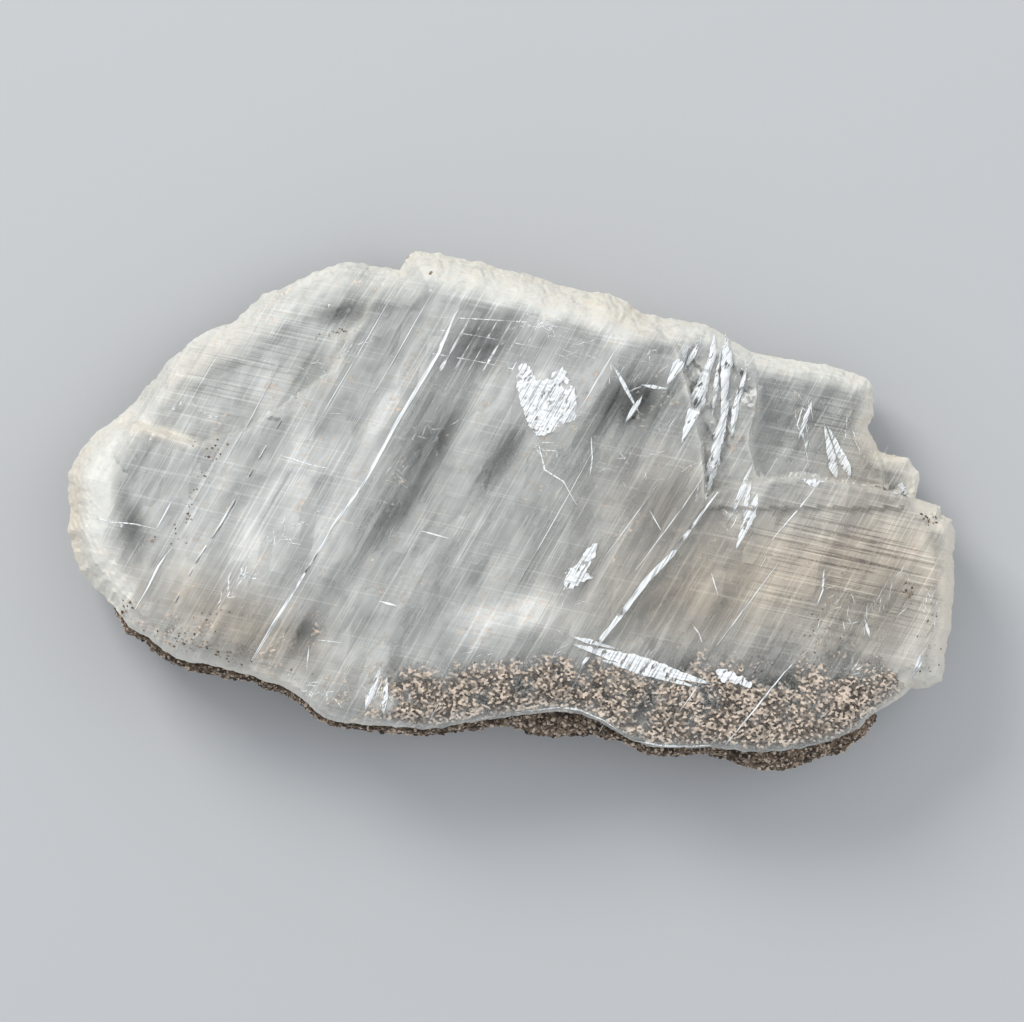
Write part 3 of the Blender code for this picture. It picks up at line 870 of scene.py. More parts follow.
@dataclass(frozen=True)
class SandAndClay:
    """Dried sediment: brown clay with lighter and darker sand."""

    dark: Colour = (0.035, 0.022, 0.014)
    middle: Colour = (0.20, 0.145, 0.10)
    light: Colour = (0.66, 0.54, 0.43)

    def material(self) -> bpy.types.Material:
        """Builds the material of the clay itself."""
        s = Shader("clay")
        coarse = s.noise(s.stretched(0.0, (2.6, 2.6, 2.6)), 4.0, 0.65)
        fine = s.noise(s.stretched(0.0, (0.55, 0.55, 0.55)), 3.0, 0.7)
        base = s.colour(coarse.between(0.38, 0.62), self.dark, self.middle)
        base = s.colour(fine.between(0.52, 0.68), base, self.light)
        normal = s.bump(coarse + fine, 0.35)
        return s.done(s.principled(Base_Color=base, Roughness=0.85, Normal=normal))

    def grains(self) -> bpy.types.Material:
        """Builds the material of the sand grains, which carry "tone" from 0 to 1."""
        s = Shader("sand_grains")
        tone = s.attribute("tone")
        fine = s.noise(s.stretched(0.0, (0.25, 0.25, 0.25)), 2.0, 0.6)
        base = s.colour(tone.between(0.20, 0.48), self.dark, self.middle)
        base = s.colour(tone.between(0.52, 0.80), base, self.light)
        base = s.colour(fine * 0.3, base, self.dark)
        return s.done(s.principled(Base_Color=base, Roughness=0.6 + 0.3 * fine))


# The crystal's shape


@dataclass(frozen=True)
class Stroke:
    """A soft-edged elongated patch on the slab.

    Args:
        x, y: its middle.
        length, width: half its length and half its width.
        angle: its direction, in degrees from +X.
        amount: what it adds at its middle.
    """

    x: float
    y: float
    length: float
    width: float
    angle: float
    amount: float

    def over(self, points: np.ndarray) -> np.ndarray:
        """What the patch adds at each point."""
        c, s = math.cos(math.radians(self.angle)), math.sin(math.radians(self.angle))
        away = points - (self.x, self.y)
        reach = (away @ (c, s) / self.length) ** 2 + (away @ (-s, c) / self.width) ** 2
        return self.amount * np.exp(-1.5 * reach)


BASE_MILK = 0.56

# Where the slab is hazier or clearer than elsewhere, with a painted reflection along the left end
HAZE_AND_PAINTED_REFLECTION = (
    Stroke(-40.0, 4.0, 26.0, 16.0, 40.0, 0.10),
    Stroke(-20.9, 12.6, 30.0, 2.5, 60.0, 0.2),
    Stroke(-38.8, -4.4, 18.0, 3.5, 60.0, 0.25),
    Stroke(-51.9, -12.0, 9.0, 4.0, 60.0, 0.15),
    # Painted reflection: milky white along the left end that stands in for light reflected inside the
    # crystal
    Stroke(-63.5, 2.0, 11.0, 2.6, 82.0, 0.8),
    Stroke(-45.0, 20.0, 16.0, 8.0, 35.0, 0.18),
    Stroke(64.0, -10.0, 15.0, 3.5, 88.0, 0.3),
    Stroke(-47.0, -16.0, 10.0, 5.0, -35.0, -0.14),
    Stroke(-60.0, -11.0, 6.0, 2.0, -45.0, 0.4),
    Stroke(2.3, -15.6, 11.0, 3.0, 8.0, 0.5),
    Stroke(5.4, 17.3, 6.5, 5.5, 60.0, 0.3),
    Stroke(5.0, 28.5, 5.0, 3.0, 60.0, 0.3),
    Stroke(-4.0, 32.5, 12.0, 1.8, -8.0, 0.2),
    Stroke(15.0, 27.4, 7.0, 2.5, -30.0, 0.3),
    Stroke(31.0, 14.6, 14.0, 5.0, 80.0, 0.15),
    Stroke(35.6, 1.0, 6.0, 2.0, 70.0, 0.3),
    Stroke(45.0, 14.0, 10.0, 7.0, -12.0, -0.18),
    Stroke(-19.7, -28.4, 4.0, 2.5, 90.0, 0.5),
    Stroke(-32.5, -26.5, 6.0, 2.0, -30.0, 0.4),
    Stroke(61.8, -20.1, 8.0, 3.0, 75.0, 0.2),
    Stroke(55.2, -2.9, 12.0, 6.0, -10.0, 0.2),
    Stroke(-27.9, 26.6, 4.0, 2.5, 20.0, 0.2),
    Stroke(-4.2, 25.7, 8.5, 4.6, 10.0, -0.45),
    Stroke(-12.2, 10.2, 9.5, 4.4, 60.0, -0.46),
    Stroke(-17.5, -1.0, 9.0, 4.0, 60.0, -0.35),
    Stroke(-0.9, 9.0, 7.0, 2.4, 60.0, -0.4),
    Stroke(19.3, 16.6, 7.5, 5.6, 20.0, -0.62),
    Stroke(10.0, 6.0, 9.0, 5.0, 60.0, -0.2),
    Stroke(-26.2, 30.3, 4.5, 1.8, 15.0, -0.45),
    Stroke(-57.5, -2.5, 4.6, 2.6, 100.0, -0.5),
    Stroke(-31.5, -18.5, 5.0, 3.5, 20.0, -0.35),
    Stroke(-26.5, -21.5, 4.5, 3.0, 20.0, 0.15),
    Stroke(24.2, 0.0, 10.0, 6.0, 50.0, -0.32),
    Stroke(26.4, -15.0, 13.0, 5.0, -10.0, -0.28),
    Stroke(36.0, -29.5, 21.0, 8.0, -3.0, -0.62),
    Stroke(2.0, -29.0, 24.0, 4.6, 0.0, -0.62),
    Stroke(34.0, -13.0, 12.0, 6.0, -12.0, 0.05),
)

# Where iron stain makes the slab beige
WARMTH = (
    Stroke(58.0, -10.0, 15.0, 18.0, 0.0, 0.85),
    Stroke(38.0, -9.0, 20.0, 13.0, 0.0, 0.75),
    Stroke(22.0, -14.0, 20.0, 10.0, 0.0, 0.5),
    Stroke(22.0, 3.0, 12.0, 9.0, 0.0, 0.4),
    Stroke(-67.4, 0.0, 12.0, 1.6, 90.0, 0.8),
    Stroke(17.0, 30.0, 8.0, 2.5, -20.0, 0.45),
    Stroke(-54.0, 12.0, 7.0, 1.2, -14.0, 0.7),
    Stroke(58.0, 12.0, 9.0, 7.0, 60.0, 0.6),
    Stroke(66.0, -12.0, 5.0, 16.0, 0.0, 0.2),
    Stroke(-42.0, -17.0, 18.0, 7.0, -25.0, 0.85),
    Stroke(-48.0, 23.0, 9.0, 3.0, 35.0, 0.3),
)

# Where the second set of cleavage lines shows
CROSS_LINES = (
    Stroke(52.0, -8.0, 17.0, 13.0, -10.0, 1.0),
    Stroke(48.0, 14.0, 10.0, 7.0, -10.0, 0.7),
    Stroke(-42.0, 22.0, 16.0, 8.0, 35.0, 0.45),
)


@dataclass(frozen=True)
class Ledge:
    """A line along which the edge of a plate shows.

    Args:
        line: its path, seen from above.
        frost: how frosted it is.
        width: how wide it is to each side.
    """

    line: Line
    frost: float
    width: float


LEDGES = (
    Ledge(LEFT_STEP[:7], 0.45, 0.8),
    Ledge(LEFT_STEP[6:10], 0.15, 1.2),
    Ledge(LEFT_STEP[9:], 0.5, 0.9),
    Ledge(RIGHT_STEP[:7], 0.3, 0.8),
    Ledge(RIGHT_STEP[6:9], 0.2, 0.5),
    Ledge(RIGHT_STEP[8:], 0.55, 0.4),
    Ledge(SHATTERED_STEP, 0.3, 0.7),
    Ledge(TAB_STEP, 0.4, 0.6),
)


class CrystalShape:
    """The slab's heights and distances over its outline, with the fine relief of its surface."""

    outline_spacing = 0.45
    outline_jitter = 0.22
    riser = 0.7
    lamina = 0.85
    tread = 0.55

    def __init__(self) -> None:
        """Works out the finely divided outline and the edge's sizes along it."""
        given = [(x, y, edge, 0.0) for edge, points in BARE_STRETCHES for x, y in points]
        given += [(x, y, edge, crust) for edge, points in CRUSTED_STRETCHES for x, y, crust in points]
        coarse = rows(edge.sizes() for _, _, edge, _ in given)
        coarse = sum(np.roll(coarse, shift, axis=0) for shift in (-1, 0, 1)) / 3
        places: list[Point] = []
        sizes: list[np.ndarray] = []
        crusts: list[float] = []
        for k, (here, then) in enumerate(zip(given, given[1:] + given[:1])):
            length = math.hypot(then[0] - here[0], then[1] - here[1])
            count = max(1, math.ceil(length / self.outline_spacing))
            crusted = here[3] > 0 and then[3] > 0
            for i in range(count):
                part = i / count
                places.append((here[0] + (then[0] - here[0]) * part, here[1] + (then[1] - here[1]) * part))
                sizes.append(coarse[k] * (1 - part) + coarse[(k + 1) % len(given)] * part)
                crusts.append((here[3] + (then[3] - here[3]) * part) * crusted or here[3] * (i == 0))
        flat = rows(places)
        outward = side_vectors(flat, closed=True)
        jitter = self.outline_jitter * (wobble(flat, 1.3, 3.0) + 0.6 * wobble(flat, 0.5, 5.0) - 0.6)
        self.outline = flat + outward * np.minimum(jitter, 0.0)[:, None]
        self.outward = side_vectors(self.outline, closed=True)
        self.sizes = np.array(sizes)
        self.crusts = np.array(crusts)
        self.start = self.outline
        self.step = np.roll(self.outline, -1, axis=0) - self.outline

    def nearest(self, points: np.ndarray) -> tuple[np.ndarray, np.ndarray]:
        """The distance to the outline, and the edge's sizes at the nearest point of it.

        Args:
            points: places as rows of x and y.

        Returns:
            One distance and one row of sizes for each point.
        """
        distances, sizes = [], []
        for chunk in np.array_split(points, max(1, len(points) // 2000)):
            away = chunk[:, None, :] - self.start[None]
            along = np.clip((away * self.step).sum(2) / (self.step**2).sum(1), 0, 1)
            gaps = np.hypot(*np.moveaxis(away - along[..., None] * self.step, 2, 0))
            near = gaps.argmin(axis=1)
            distances.append(gaps[np.arange(len(chunk)), near])
            sizes.append(self.sizes[near])
        return np.concatenate(distances), np.concatenate(sizes)

    def plates(self, points: np.ndarray) -> np.ndarray:
        """Height of the cleavage plate that each point lies on."""
        heights = np.full(len(points), FRONT_PLATE)
        heights -= LEFT_STRIP_DROP * inside(LEFT_STRIP_STEP + BEYOND_LEFT_STRIP, points)
        heights -= RIGHT_STRIP_DROP * inside(RIGHT_STRIP_STEP + BEYOND_RIGHT_STRIP, points)
        for area, level in (
            (LEFT_STEP + ABOVE_LEFT, LEFT_PLATE),
            (RIGHT_STEP + ABOVE_RIGHT, SHATTERED_LEDGE),
            (SHATTERED_STEP + BEYOND_LEDGE, RIGHT_PLATE),
            (TAB_STEP + BESIDE_TAB, TAB_PLATE),
        ):
            heights[inside(area, points)] = level
        return heights

    def rise(self, points: np.ndarray) -> tuple[np.ndarray, np.ndarray, np.ndarray]:
        """How far each point is up from the outline to its plate.

        Args:
            points: places as rows of x and y.

        Returns:
            The share of the rise from 0 to 1, the distances and the edge's sizes.
        """
        distances, sizes = self.nearest(points)
        band, share, slope = sizes[:, 2], sizes[:, 3], sizes[:, 4]
        steep = share * distances / band
        gentle = share + (1 - share) * (distances - band) / (slope - band)
        return np.where(distances < band, steep, np.minimum(gentle, 1.0)), distances, sizes

    def top(self, points: np.ndarray) -> np.ndarray:
        """Height of the slab's upper surface, with its fine relief."""
        share, _, sizes = self.rise(points)
        plates = self.plates(points)
        head = sizes[:, 1]
        broken = 1 - share
        heights = head + (plates - head) * share
        heights += broken * (1.3 * wobble(points, 3.2, 11.0) + 0.5 * wobble(points, 1.2, 12.0))
        stepped = np.clip(2.5 * broken - 0.5, 0, 1)
        heights += stepped * (ledged(heights, self.lamina, self.tread) - heights)
        heights += np.minimum(1, 2 * broken) * facets(points, 1.5, 0.30, 4.0)
        shattered = plates == SHATTERED_LEDGE
        heights += shattered * share * (0.7 * wobble(points, 3.2, 19.0) + facets(points, 2.6, 0.5, 9.0))
        low = 0.09 * np.round(2.2 * streaks(points, CLEAVAGE, 30.0, 3.0, 21.0))
        low += 0.06 * np.round(1.8 * streaks(points, CROSS_CLEAVAGE, 22.0, 2.4, 25.0))
        heights += share * (low - 0.1)
        return np.minimum(heights, FRONT_PLATE + 0.1)

    def back(self, points: np.ndarray) -> np.ndarray:
        """Height of the slab's lower surface."""
        distances, sizes = self.nearest(points)
        rise = sizes[:, 0] * np.maximum(0.0, 1 - distances / sizes[:, 5])
        level = BACK_LEDGE * inside(BACK_STEP + BEYOND_BACK_STEP, points)
        rough = np.clip(rise / 3.0, 0, 1) * 0.35 * wobble(points, 1.6, 33.0)
        return np.maximum(rise + rough, level)

    def gritty(self, points: np.ndarray, fade: float) -> np.ndarray:
        """How densely grit covers the undercut face below each point, from 0 to about 1.4.

        Args:
            points: places as rows of x and y.
            fade: how far beyond the undercut the grit thins out.

        Returns:
            One value for each point.
        """
        distances, sizes = self.nearest(points)
        undercut = sizes[:, 5]
        cover = np.clip((undercut + fade - distances) / (0.7 * undercut), 0, 1) ** 1.3
        cover *= (undercut > 4.2) & (points[:, 1] < -6.0)
        cover *= np.clip((points[:, 0] + 24.0) / 9.0, 0.12, 1)
        patchy = 0.9 + 1.2 * wobble(points, 4.5, 111.0) + 0.5 * wobble(points, 1.6, 113.0)
        return cover * np.clip(patchy, 0.15, 1.4)

    def inset(self, points: np.ndarray, margin: float) -> np.ndarray:
        """The points that are on a plate and at least margin inside the edge's slope."""
        distances, sizes = self.nearest(points)
        return points[distances > sizes[:, 4] + margin]

    def step_lines(self, steps: Sequence[Line], spacing: float) -> list[list[Point]]:
        """Both edges of each step between plates, clear of the outline.

        Args:
            steps: the steps' lines.
            spacing: distance between the points along them.

        Returns:
            Two lines for each step.
        """
        lines = []
        for step in steps:
            line = rows(refined(step, spacing))
            line += 0.25 * np.stack([wobble(line, 1.4, 51.0), wobble(line, 1.4, 57.0)], axis=1)
            sides = side_vectors(line, closed=False)
            for sign in (-1, 1):
                run = line + sign * sides * self.riser / 2
                distances, _ = self.nearest(run)
                run = run[inside(self.outline.tolist(), run) & (distances > 0.6)]
                lines.append([tuple(p) for p in run])
        return lines


@dataclass
class ClearSlab:
    """The clear crystal itself.

    Args:
        shape: its heights and outline.
        finish: its material.
        top_spacing: distance between the points of its upper surface.
        back_spacing: the same for its back.
        wall_rows: how many rows of faces its wall has.
        wall_relief: how far the laminae of the wall stand back.
    """

    shape: CrystalShape
    finish: ClearGypsum = ClearGypsum()
    top_spacing: float = 0.55
    back_spacing: float = 1.6
    wall_rows: int = 9
    wall_relief: float = 0.5

    def wall(self, solid: Solid, top_first: int, back_first: int, count: int) -> None:
        """Joins the upper and the lower surface by a wall of thin laminae.

        Args:
            solid: the mesh in the making.
            top_first: the number of the upper outline's first vertex.
            back_first: the same for the lower outline.
            count: how many vertices the outline has.
        """
        upper = np.array(solid.vertices[top_first:top_first + count])
        lower = np.array(solid.vertices[back_first:back_first + count])
        rings = [top_first]
        for row in range(1, self.wall_rows):
            part = (row + 0.7 * wobble(upper[:, :2], 5.0, 60.0 + row)) / self.wall_rows
            level = upper + (lower - upper) * part[:, None]
            seam = np.stack([level[:, 0] * 0.6 + level[:, 1] * 0.6, level[:, 2] * 3.0], axis=1)
            inset = self.wall_relief * np.abs(wobble(seam, 2.2, 61.0))
            inset += 1.2 * self.wall_relief * np.abs(facets(seam, 1.8, 0.5, 8.0))
            level[:, :2] -= self.shape.outward * inset[:, None]
            rings.append(solid.add(level, []))
        rings.append(back_first)
        for a, b in zip(rings, rings[1:]):
            for i in range(count):
                then = (i + 1) % count
                solid.faces.append([a + i, a + then, b + then, b + i])

    def build(self) -> bpy.types.Object:
        """Builds the crystal and the numbers that its material reads."""
        shape = self.shape
        outline = [tuple(p) for p in shape.outline]
        lines = shape.step_lines(
            (LEFT_STEP, RIGHT_STEP, SHATTERED_STEP, TAB_STEP, LEFT_STRIP_STEP, RIGHT_STRIP_STEP), 0.5
        )
        inner = lattice(outline, self.top_spacing)
        inner = inner[shape.nearest(inner)[0] > 0.3]
        flat, faces = triangles_over(outline, lines, far_from(lines, inner, 0.42))
        solid = Solid()
        solid.add(np.column_stack([flat, shape.top(flat)]), faces)
        back_inner = lattice(outline, self.back_spacing)
        back_inner = back_inner[shape.nearest(back_inner)[0] > 0.6]
        back_flat, back_faces = triangles_over(outline, shape.step_lines((BACK_STEP,), 1.5), back_inner)
        back_first = solid.add(
            np.column_stack([back_flat, shape.back(back_flat)]), [face[::-1] for face in back_faces]
        )
        self.wall(solid, 0, back_first, len(outline))
        body = solid.finished("selenite_body", self.finish.material())
        self.dress(body)
        return body

    def dress(self, body: bpy.types.Object) -> None:
        """Writes how frosted, milky and warm the crystal is at each of its points."""
        places = np.empty(len(body.data.vertices) * 3)
        body.data.vertices.foreach_get("co", places)
        places = places.reshape(-1, 3) / MM
        flat, height = places[:, :2], places[:, 2]
        share, distances, sizes = self.shape.rise(flat)
        upward = height > sizes[:, 0] + 0.5
        broken = np.clip(1.15 * (1 - share), 0, 1) ** 0.7
        wall = np.clip(1.5 - 1.1 * distances / (sizes[:, 5] + 1.0), 0.3, 1.0)
        wall *= 0.85 + 0.5 * wobble(places[:, [0, 2]] + flat, 3.0, 83.0)
        wall = np.where(sizes[:, 5] > 4.4, 0.35, wall)
        frost = sizes[:, 6] * np.where(upward, broken, wall)
        for ledge in LEDGES:
            path = rows(refined(ledge.line, 0.4))
            gaps = np.full(len(flat), 9.0)
            for chunk in np.array_split(path, 12):
                near = np.hypot(*np.moveaxis(flat[:, None] - chunk[None], 2, 0)).min(axis=1)
                gaps = np.minimum(gaps, near)
            patchy = np.clip(0.75 + 0.9 * wobble(flat, 2.2, 81.0), 0, 1)
            edge = ledge.frost * patchy * np.clip(1.4 - gaps / ledge.width, 0, 1)
            frost = np.maximum(frost, upward * edge)
        milk = BASE_MILK + sum(stroke.over(flat) for stroke in HAZE_AND_PAINTED_REFLECTION)
        milk = milk * (1 - 0.85 * np.clip(self.shape.gritty(flat, 3.0), 0, 1))
        milk = np.clip(np.where(upward, milk, 0.1), 0, 1)
        set_attribute(body, "frost", frost)
        flatter = np.clip(distances / 0.8 - 0.4, 0, 1) * upward
        set_attribute(body, "grit", np.clip(self.shape.gritty(flat, 3.0), 0, 1) * flatter)
        set_attribute(body, "milk", milk)
        set_attribute(body, "warm", np.clip(sum(stroke.over(flat) for stroke in WARMTH), 0, 1))
        set_attribute(body, "side", np.clip(sum(stroke.over(flat) for stroke in CROSS_LINES), 0, 1))


@dataclass
class Veils:
    """The milky cleavage planes inside the crystal.

    Args:
        shape: the crystal they lie in.
        depths: how far each lies below the plates.
        thickness: their thickness.
        spacing: distance between their points.
    """

    shape: CrystalShape
    depths: tuple[float, ...] = (2.0, 8.0)
    thickness: float = 0.12
    spacing: float = 2.0

    def build(self) -> bpy.types.Object:
        """Builds all veils as one object."""
        solid = Solid()
        levels: list[float] = []
        material = MilkyVeil().material()
        _, sizes = self.shape.nearest(self.shape.outline)
        for depth in self.depths:
            width = sizes[:, 4] + 1.5
            ring = (self.shape.outline - self.shape.outward * width[:, None])[::4]
            distances, near = self.shape.nearest(ring)
            keep = inside(self.shape.outline.tolist(), ring) & (distances > near[:, 4] + 1.0)
            outline = [tuple(p) for p in ring[keep]]
            points = self.shape.inset(lattice(outline, self.spacing), 2.5)

            def top(flat: np.ndarray, depth: float = depth) -> np.ndarray:
                """Height of the veil's upper face."""
                return self.shape.plates(flat) - depth + 0.3 * wobble(flat, 14.0, depth)

            solid.plate(outline, [], points, top, lambda flat: top(flat) - self.thickness)
            levels += [depth] * (len(solid.vertices) - len(levels))
        veils = solid.finished("cleavage_veils", material)
        set_attribute(veils, "level", np.array(levels))
        places = rows(solid.vertices)[:, :2]
        milk = np.clip(BASE_MILK + sum(stroke.over(places) for stroke in HAZE_AND_PAINTED_REFLECTION), 0, 1)
        milk *= 1 - 0.9 * np.clip(self.shape.gritty(places, 3.0), 0, 1)
        set_attribute(veils, "milk", milk)
        set_attribute(veils, "warm", np.clip(sum(stroke.over(places) for stroke in WARMTH), 0, 1))
        return veils


@dataclass(frozen=True)
class Crack:
    """One bright crack along a cleavage.

    Args:
        line: its path, seen from above.
        width: its widest place.
        widest: where along the path that is, from 0 to 1.
        depth: how far down it goes.
        lean: how far its lower edge lies to the left.
    """

    line: Line
    width: float
    widest: float
    depth: float
    lean: float


CRACKS = (
    Crack(
        (
            (-6.2, 34.8), (-9.0, 28.8), (-10.8, 24.4), (-17.1, 14.0), (-22.0, 4.9), (-27.1, -2.2),
            (-31.3, -9.4), (-35.6, -16.5), (-39.2, -22.6),
        ),
        0.55, 0.25, 9.0, 0.0,
    ),
    Crack(((-27.5, -3.6), (-31.9, -10.2), (-36.3, -17.2), (-39.8, -23.2)), 0.3, 0.5, 5.0, 0.4),
    Crack(
        (
            (31.8, 3.0), (29.9, 0.5), (25.0, -6.3), (20.9, -10.5), (17.1, -15.6), (14.4, -19.0),
            (11.2, -23.2), (9.9, -26.1), (7.9, -29.7),
        ),
        0.95, 0.45, 12.0, 0.0,
    ),
    Crack(((-34.9, 14.2), (-39.5, 6.3), (-44.3, -1.9), (-48.0, -7.5), (-51.9, -15.1)), 0.25, 0.5, 6.0, 0.3),
    Crack(((-51.8, -5.5), (-53.8, -8.3), (-55.2, -11.2), (-57.4, -15.0)), 0.35, 0.4, 5.0, 0.3),
    Crack(((-51.8, 1.6), (-53.0, -0.7), (-54.1, -2.6)), 0.35, 0.5, 3.0, 0.2),
    Crack(((47.0, 4.1), (44.0, 0.2), (41.5, -2.7), (39.1, -5.5)), 0.22, 0.4, 5.0, 0.3),
    Crack(((45.6, -21.2), (42.0, -24.6), (37.7, -30.0), (33.0, -35.7)), 0.25, 0.6, 6.0, 0.3),
    Crack(((-66.3, -0.5), (-61.2, -1.6), (-57.4, -1.9), (-54.1, -2.7)), 0.22, 0.6, 1.5, 0.1),
    Crack(((-20.0, -13.7), (-17.2, -14.5)), 0.4, 0.5, 1.0, 0.1),
    Crack(((15.7, 22.4), (17.1, 19.6), (19.8, 15.0)), 0.35, 0.4, 0.8, 0.1),
    Crack(((20.2, 19.3), (22.0, 19.0), (24.0, 18.8)), 0.5, 0.4, 0.8, 0.1),
    Crack(((12.4, 11.4), (12.6, 8.3), (12.2, 5.5)), 0.25, 0.4, 1.0, 0.1),
    Crack(((4.3, 10.5), (5.3, 6.4), (8.2, 4.6), (10.2, 1.0)), 0.25, 0.3, 1.0, 0.1),
    Crack(((21.4, 0.1), (23.1, -2.9)), 0.2, 0.4, 1.0, 0.1),
    Crack(((27.9, -17.4), (28.9, -18.6), (29.4, -20.1)), 0.25, 0.4, 1.0, 0.1),
    Crack(((30.8, -9.4), (31.9, -12.8)), 0.2, 0.4, 1.0, 0.1),
    Crack(((-13.5, -3.0), (-9.3, -4.1)), 0.25, 0.4, 0.8, 0.1),
    Crack(((-35.1, 8.6), (-31.4, 7.4), (-27.5, 6.5)), 0.3, 0.3, 0.8, 0.1),
    Crack(((-29.5, -19.6), (-25.6, -20.1)), 0.15, 0.4, 0.8, 0.1),
    Crack(((-30.8, -20.5), (-31.1, -24.3)), 0.18, 0.4, 0.8, 0.1),
    Crack(((45.3, 16.5), (44.3, 13.4), (45.3, 11.4), (46.2, 6.4)), 0.22, 0.2, 1.0, 0.1),
    Crack(((48.1, -8.9), (47.9, -12.0), (47.1, -14.2)), 0.35, 0.3, 0.8, 0.1),
    Crack(((-35.2, 23.1), (-40.0, 14.0), (-46.0, 3.6), (-50.4, -4.4)), 0.14, 0.3, 2.0, 0.2),
    Crack(((-16.1, 36.3), (-22.6, 25.2), (-31.5, 10.1), (-38.4, -2.0)), 0.12, 0.3, 2.0, 0.2),
    Crack(((-12.0, 33.4), (-18.0, 22.8), (-24.4, 12.0)), 0.12, 0.3, 2.0, 0.2),
    Crack(((10.8, 15.8), (16.0, 24.6)), 0.3, 0.7, 2.0, 0.1),
    Crack(((1.0, -11.4), (7.2, -0.6), (13.0, 9.8)), 0.12, 0.5, 2.0, 0.1),
    Crack(((18.3, -10.2), (26.4, 0.6), (31.2, 7.8)), 0.14, 0.5, 2.0, 0.1),
    Crack(((14.1, -7.6), (22.6, 4.2)), 0.14, 0.5, 2.0, 0.1),
    Crack(((26.0, -30.6), (29.6, -25.6)), 0.14, 0.5, 2.0, 0.1),
    Crack(((31.6, -20.6), (37.0, -13.4), (41.0, -8.0)), 0.18, 0.5, 2.0, 0.1),
    Crack(((1.9, -30.6), (7.3, -30.0), (10.8, -30.4), (14.3, -32.0), (17.5, -34.1)), 0.3, 0.5, 0.8, 0.0),
    Crack(((19.4, -35.2), (23.4, -35.9), (28.0, -36.0), (31.0, -35.8)), 0.4, 0.5, 0.8, 0.0),
)


@dataclass
class Cracks:
    """The bright open cracks in the crystal.

    Args:
        shape: the crystal they run through.
        proud: how far their upper edges stand out of the surface.
        spacing: distance between their points.
    """

    shape: CrystalShape
    proud: float = 0.1
    spacing: float = 0.8

    def build(self) -> bpy.types.Object:
        """Builds all cracks as one object."""
        solid = Solid()
        for number, crack in enumerate(CRACKS):
            line = rows(refined(crack.line, self.spacing))
            line += 0.07 * np.stack([wobble(line, 2.0, number + 0.3), wobble(line, 2.0, number + 0.7)], 1)
            part = np.linspace(0, 1, len(line))
            taper = np.where(part < crack.widest, part / crack.widest, (1 - part) / (1 - crack.widest))
            width = crack.width * (0.12 + 0.88 * taper**0.8)
            width *= 1 + 0.25 * wobble(line, 1.7, number + 0.5)
            solid.ribbon(
                [tuple(p) for p in line], width, self.shape.top(line) + self.proud, crack.depth, crack.lean
            )
        return solid.finished("cracks", PearlyWhite(tears=0.25).material("crack_white"))


@dataclass(frozen=True)
class Flake:
    """One white flake or fracture patch.

    Args:
        outline: its outline, seen from above.
        rise: how far it stands above the crystal's surface.
    """

    outline: Line
    rise: float


FLAKES = (
    Flake(
        (
            (1.2, 22.2), (2.3, 22.7), (4.2, 20.2), (6.2, 20.5), (8.1, 22.2), (9.5, 18.7),
            (10.4, 17.3), (9.8, 14.2), (7.8, 13.1), (5.1, 11.4), (3.4, 12.3), (2.0, 15.1), (1.1, 18.7),
        ),
        0.1,
    ),
    Flake(
        (
            (9.3, -11.9), (8.2, -11.9), (8.7, -8.9), (10.1, -8.0), (11.2, -6.9), (11.5, -5.8),
            (13.6, -4.6), (12.6, -6.9), (11.5, -9.4), (12.6, -10.0),
        ),
        0.1,
    ),
    Flake(
        ((31.3, -24.3), (33.0, -24.1), (37.0, -26.3), (36.6, -26.7), (32.4, -26.1)),
        0.1,
    ),
    Flake(
        ((44.6, 4.9), (47.0, 5.8), (48.0, 4.6), (46.2, 3.8)), 0.15,
    ),
    Flake(((59.2, 2.8), (60.8, 4.6), (62.0, 2.6)), 0.3),
)


@dataclass(frozen=True)
class Shard:
    """One bright pointed shard.

    Args:
        start, end: its two points, seen from above.
        width: its widest place.
        widest: where along it that is, from 0 to 1.
        rise: how far its ridge stands above the crystal's surface.
        lean: how steeply it leans to its side, in degrees.
    """

    start: Point
    end: Point
    width: float
    widest: float
    rise: float
    lean: float


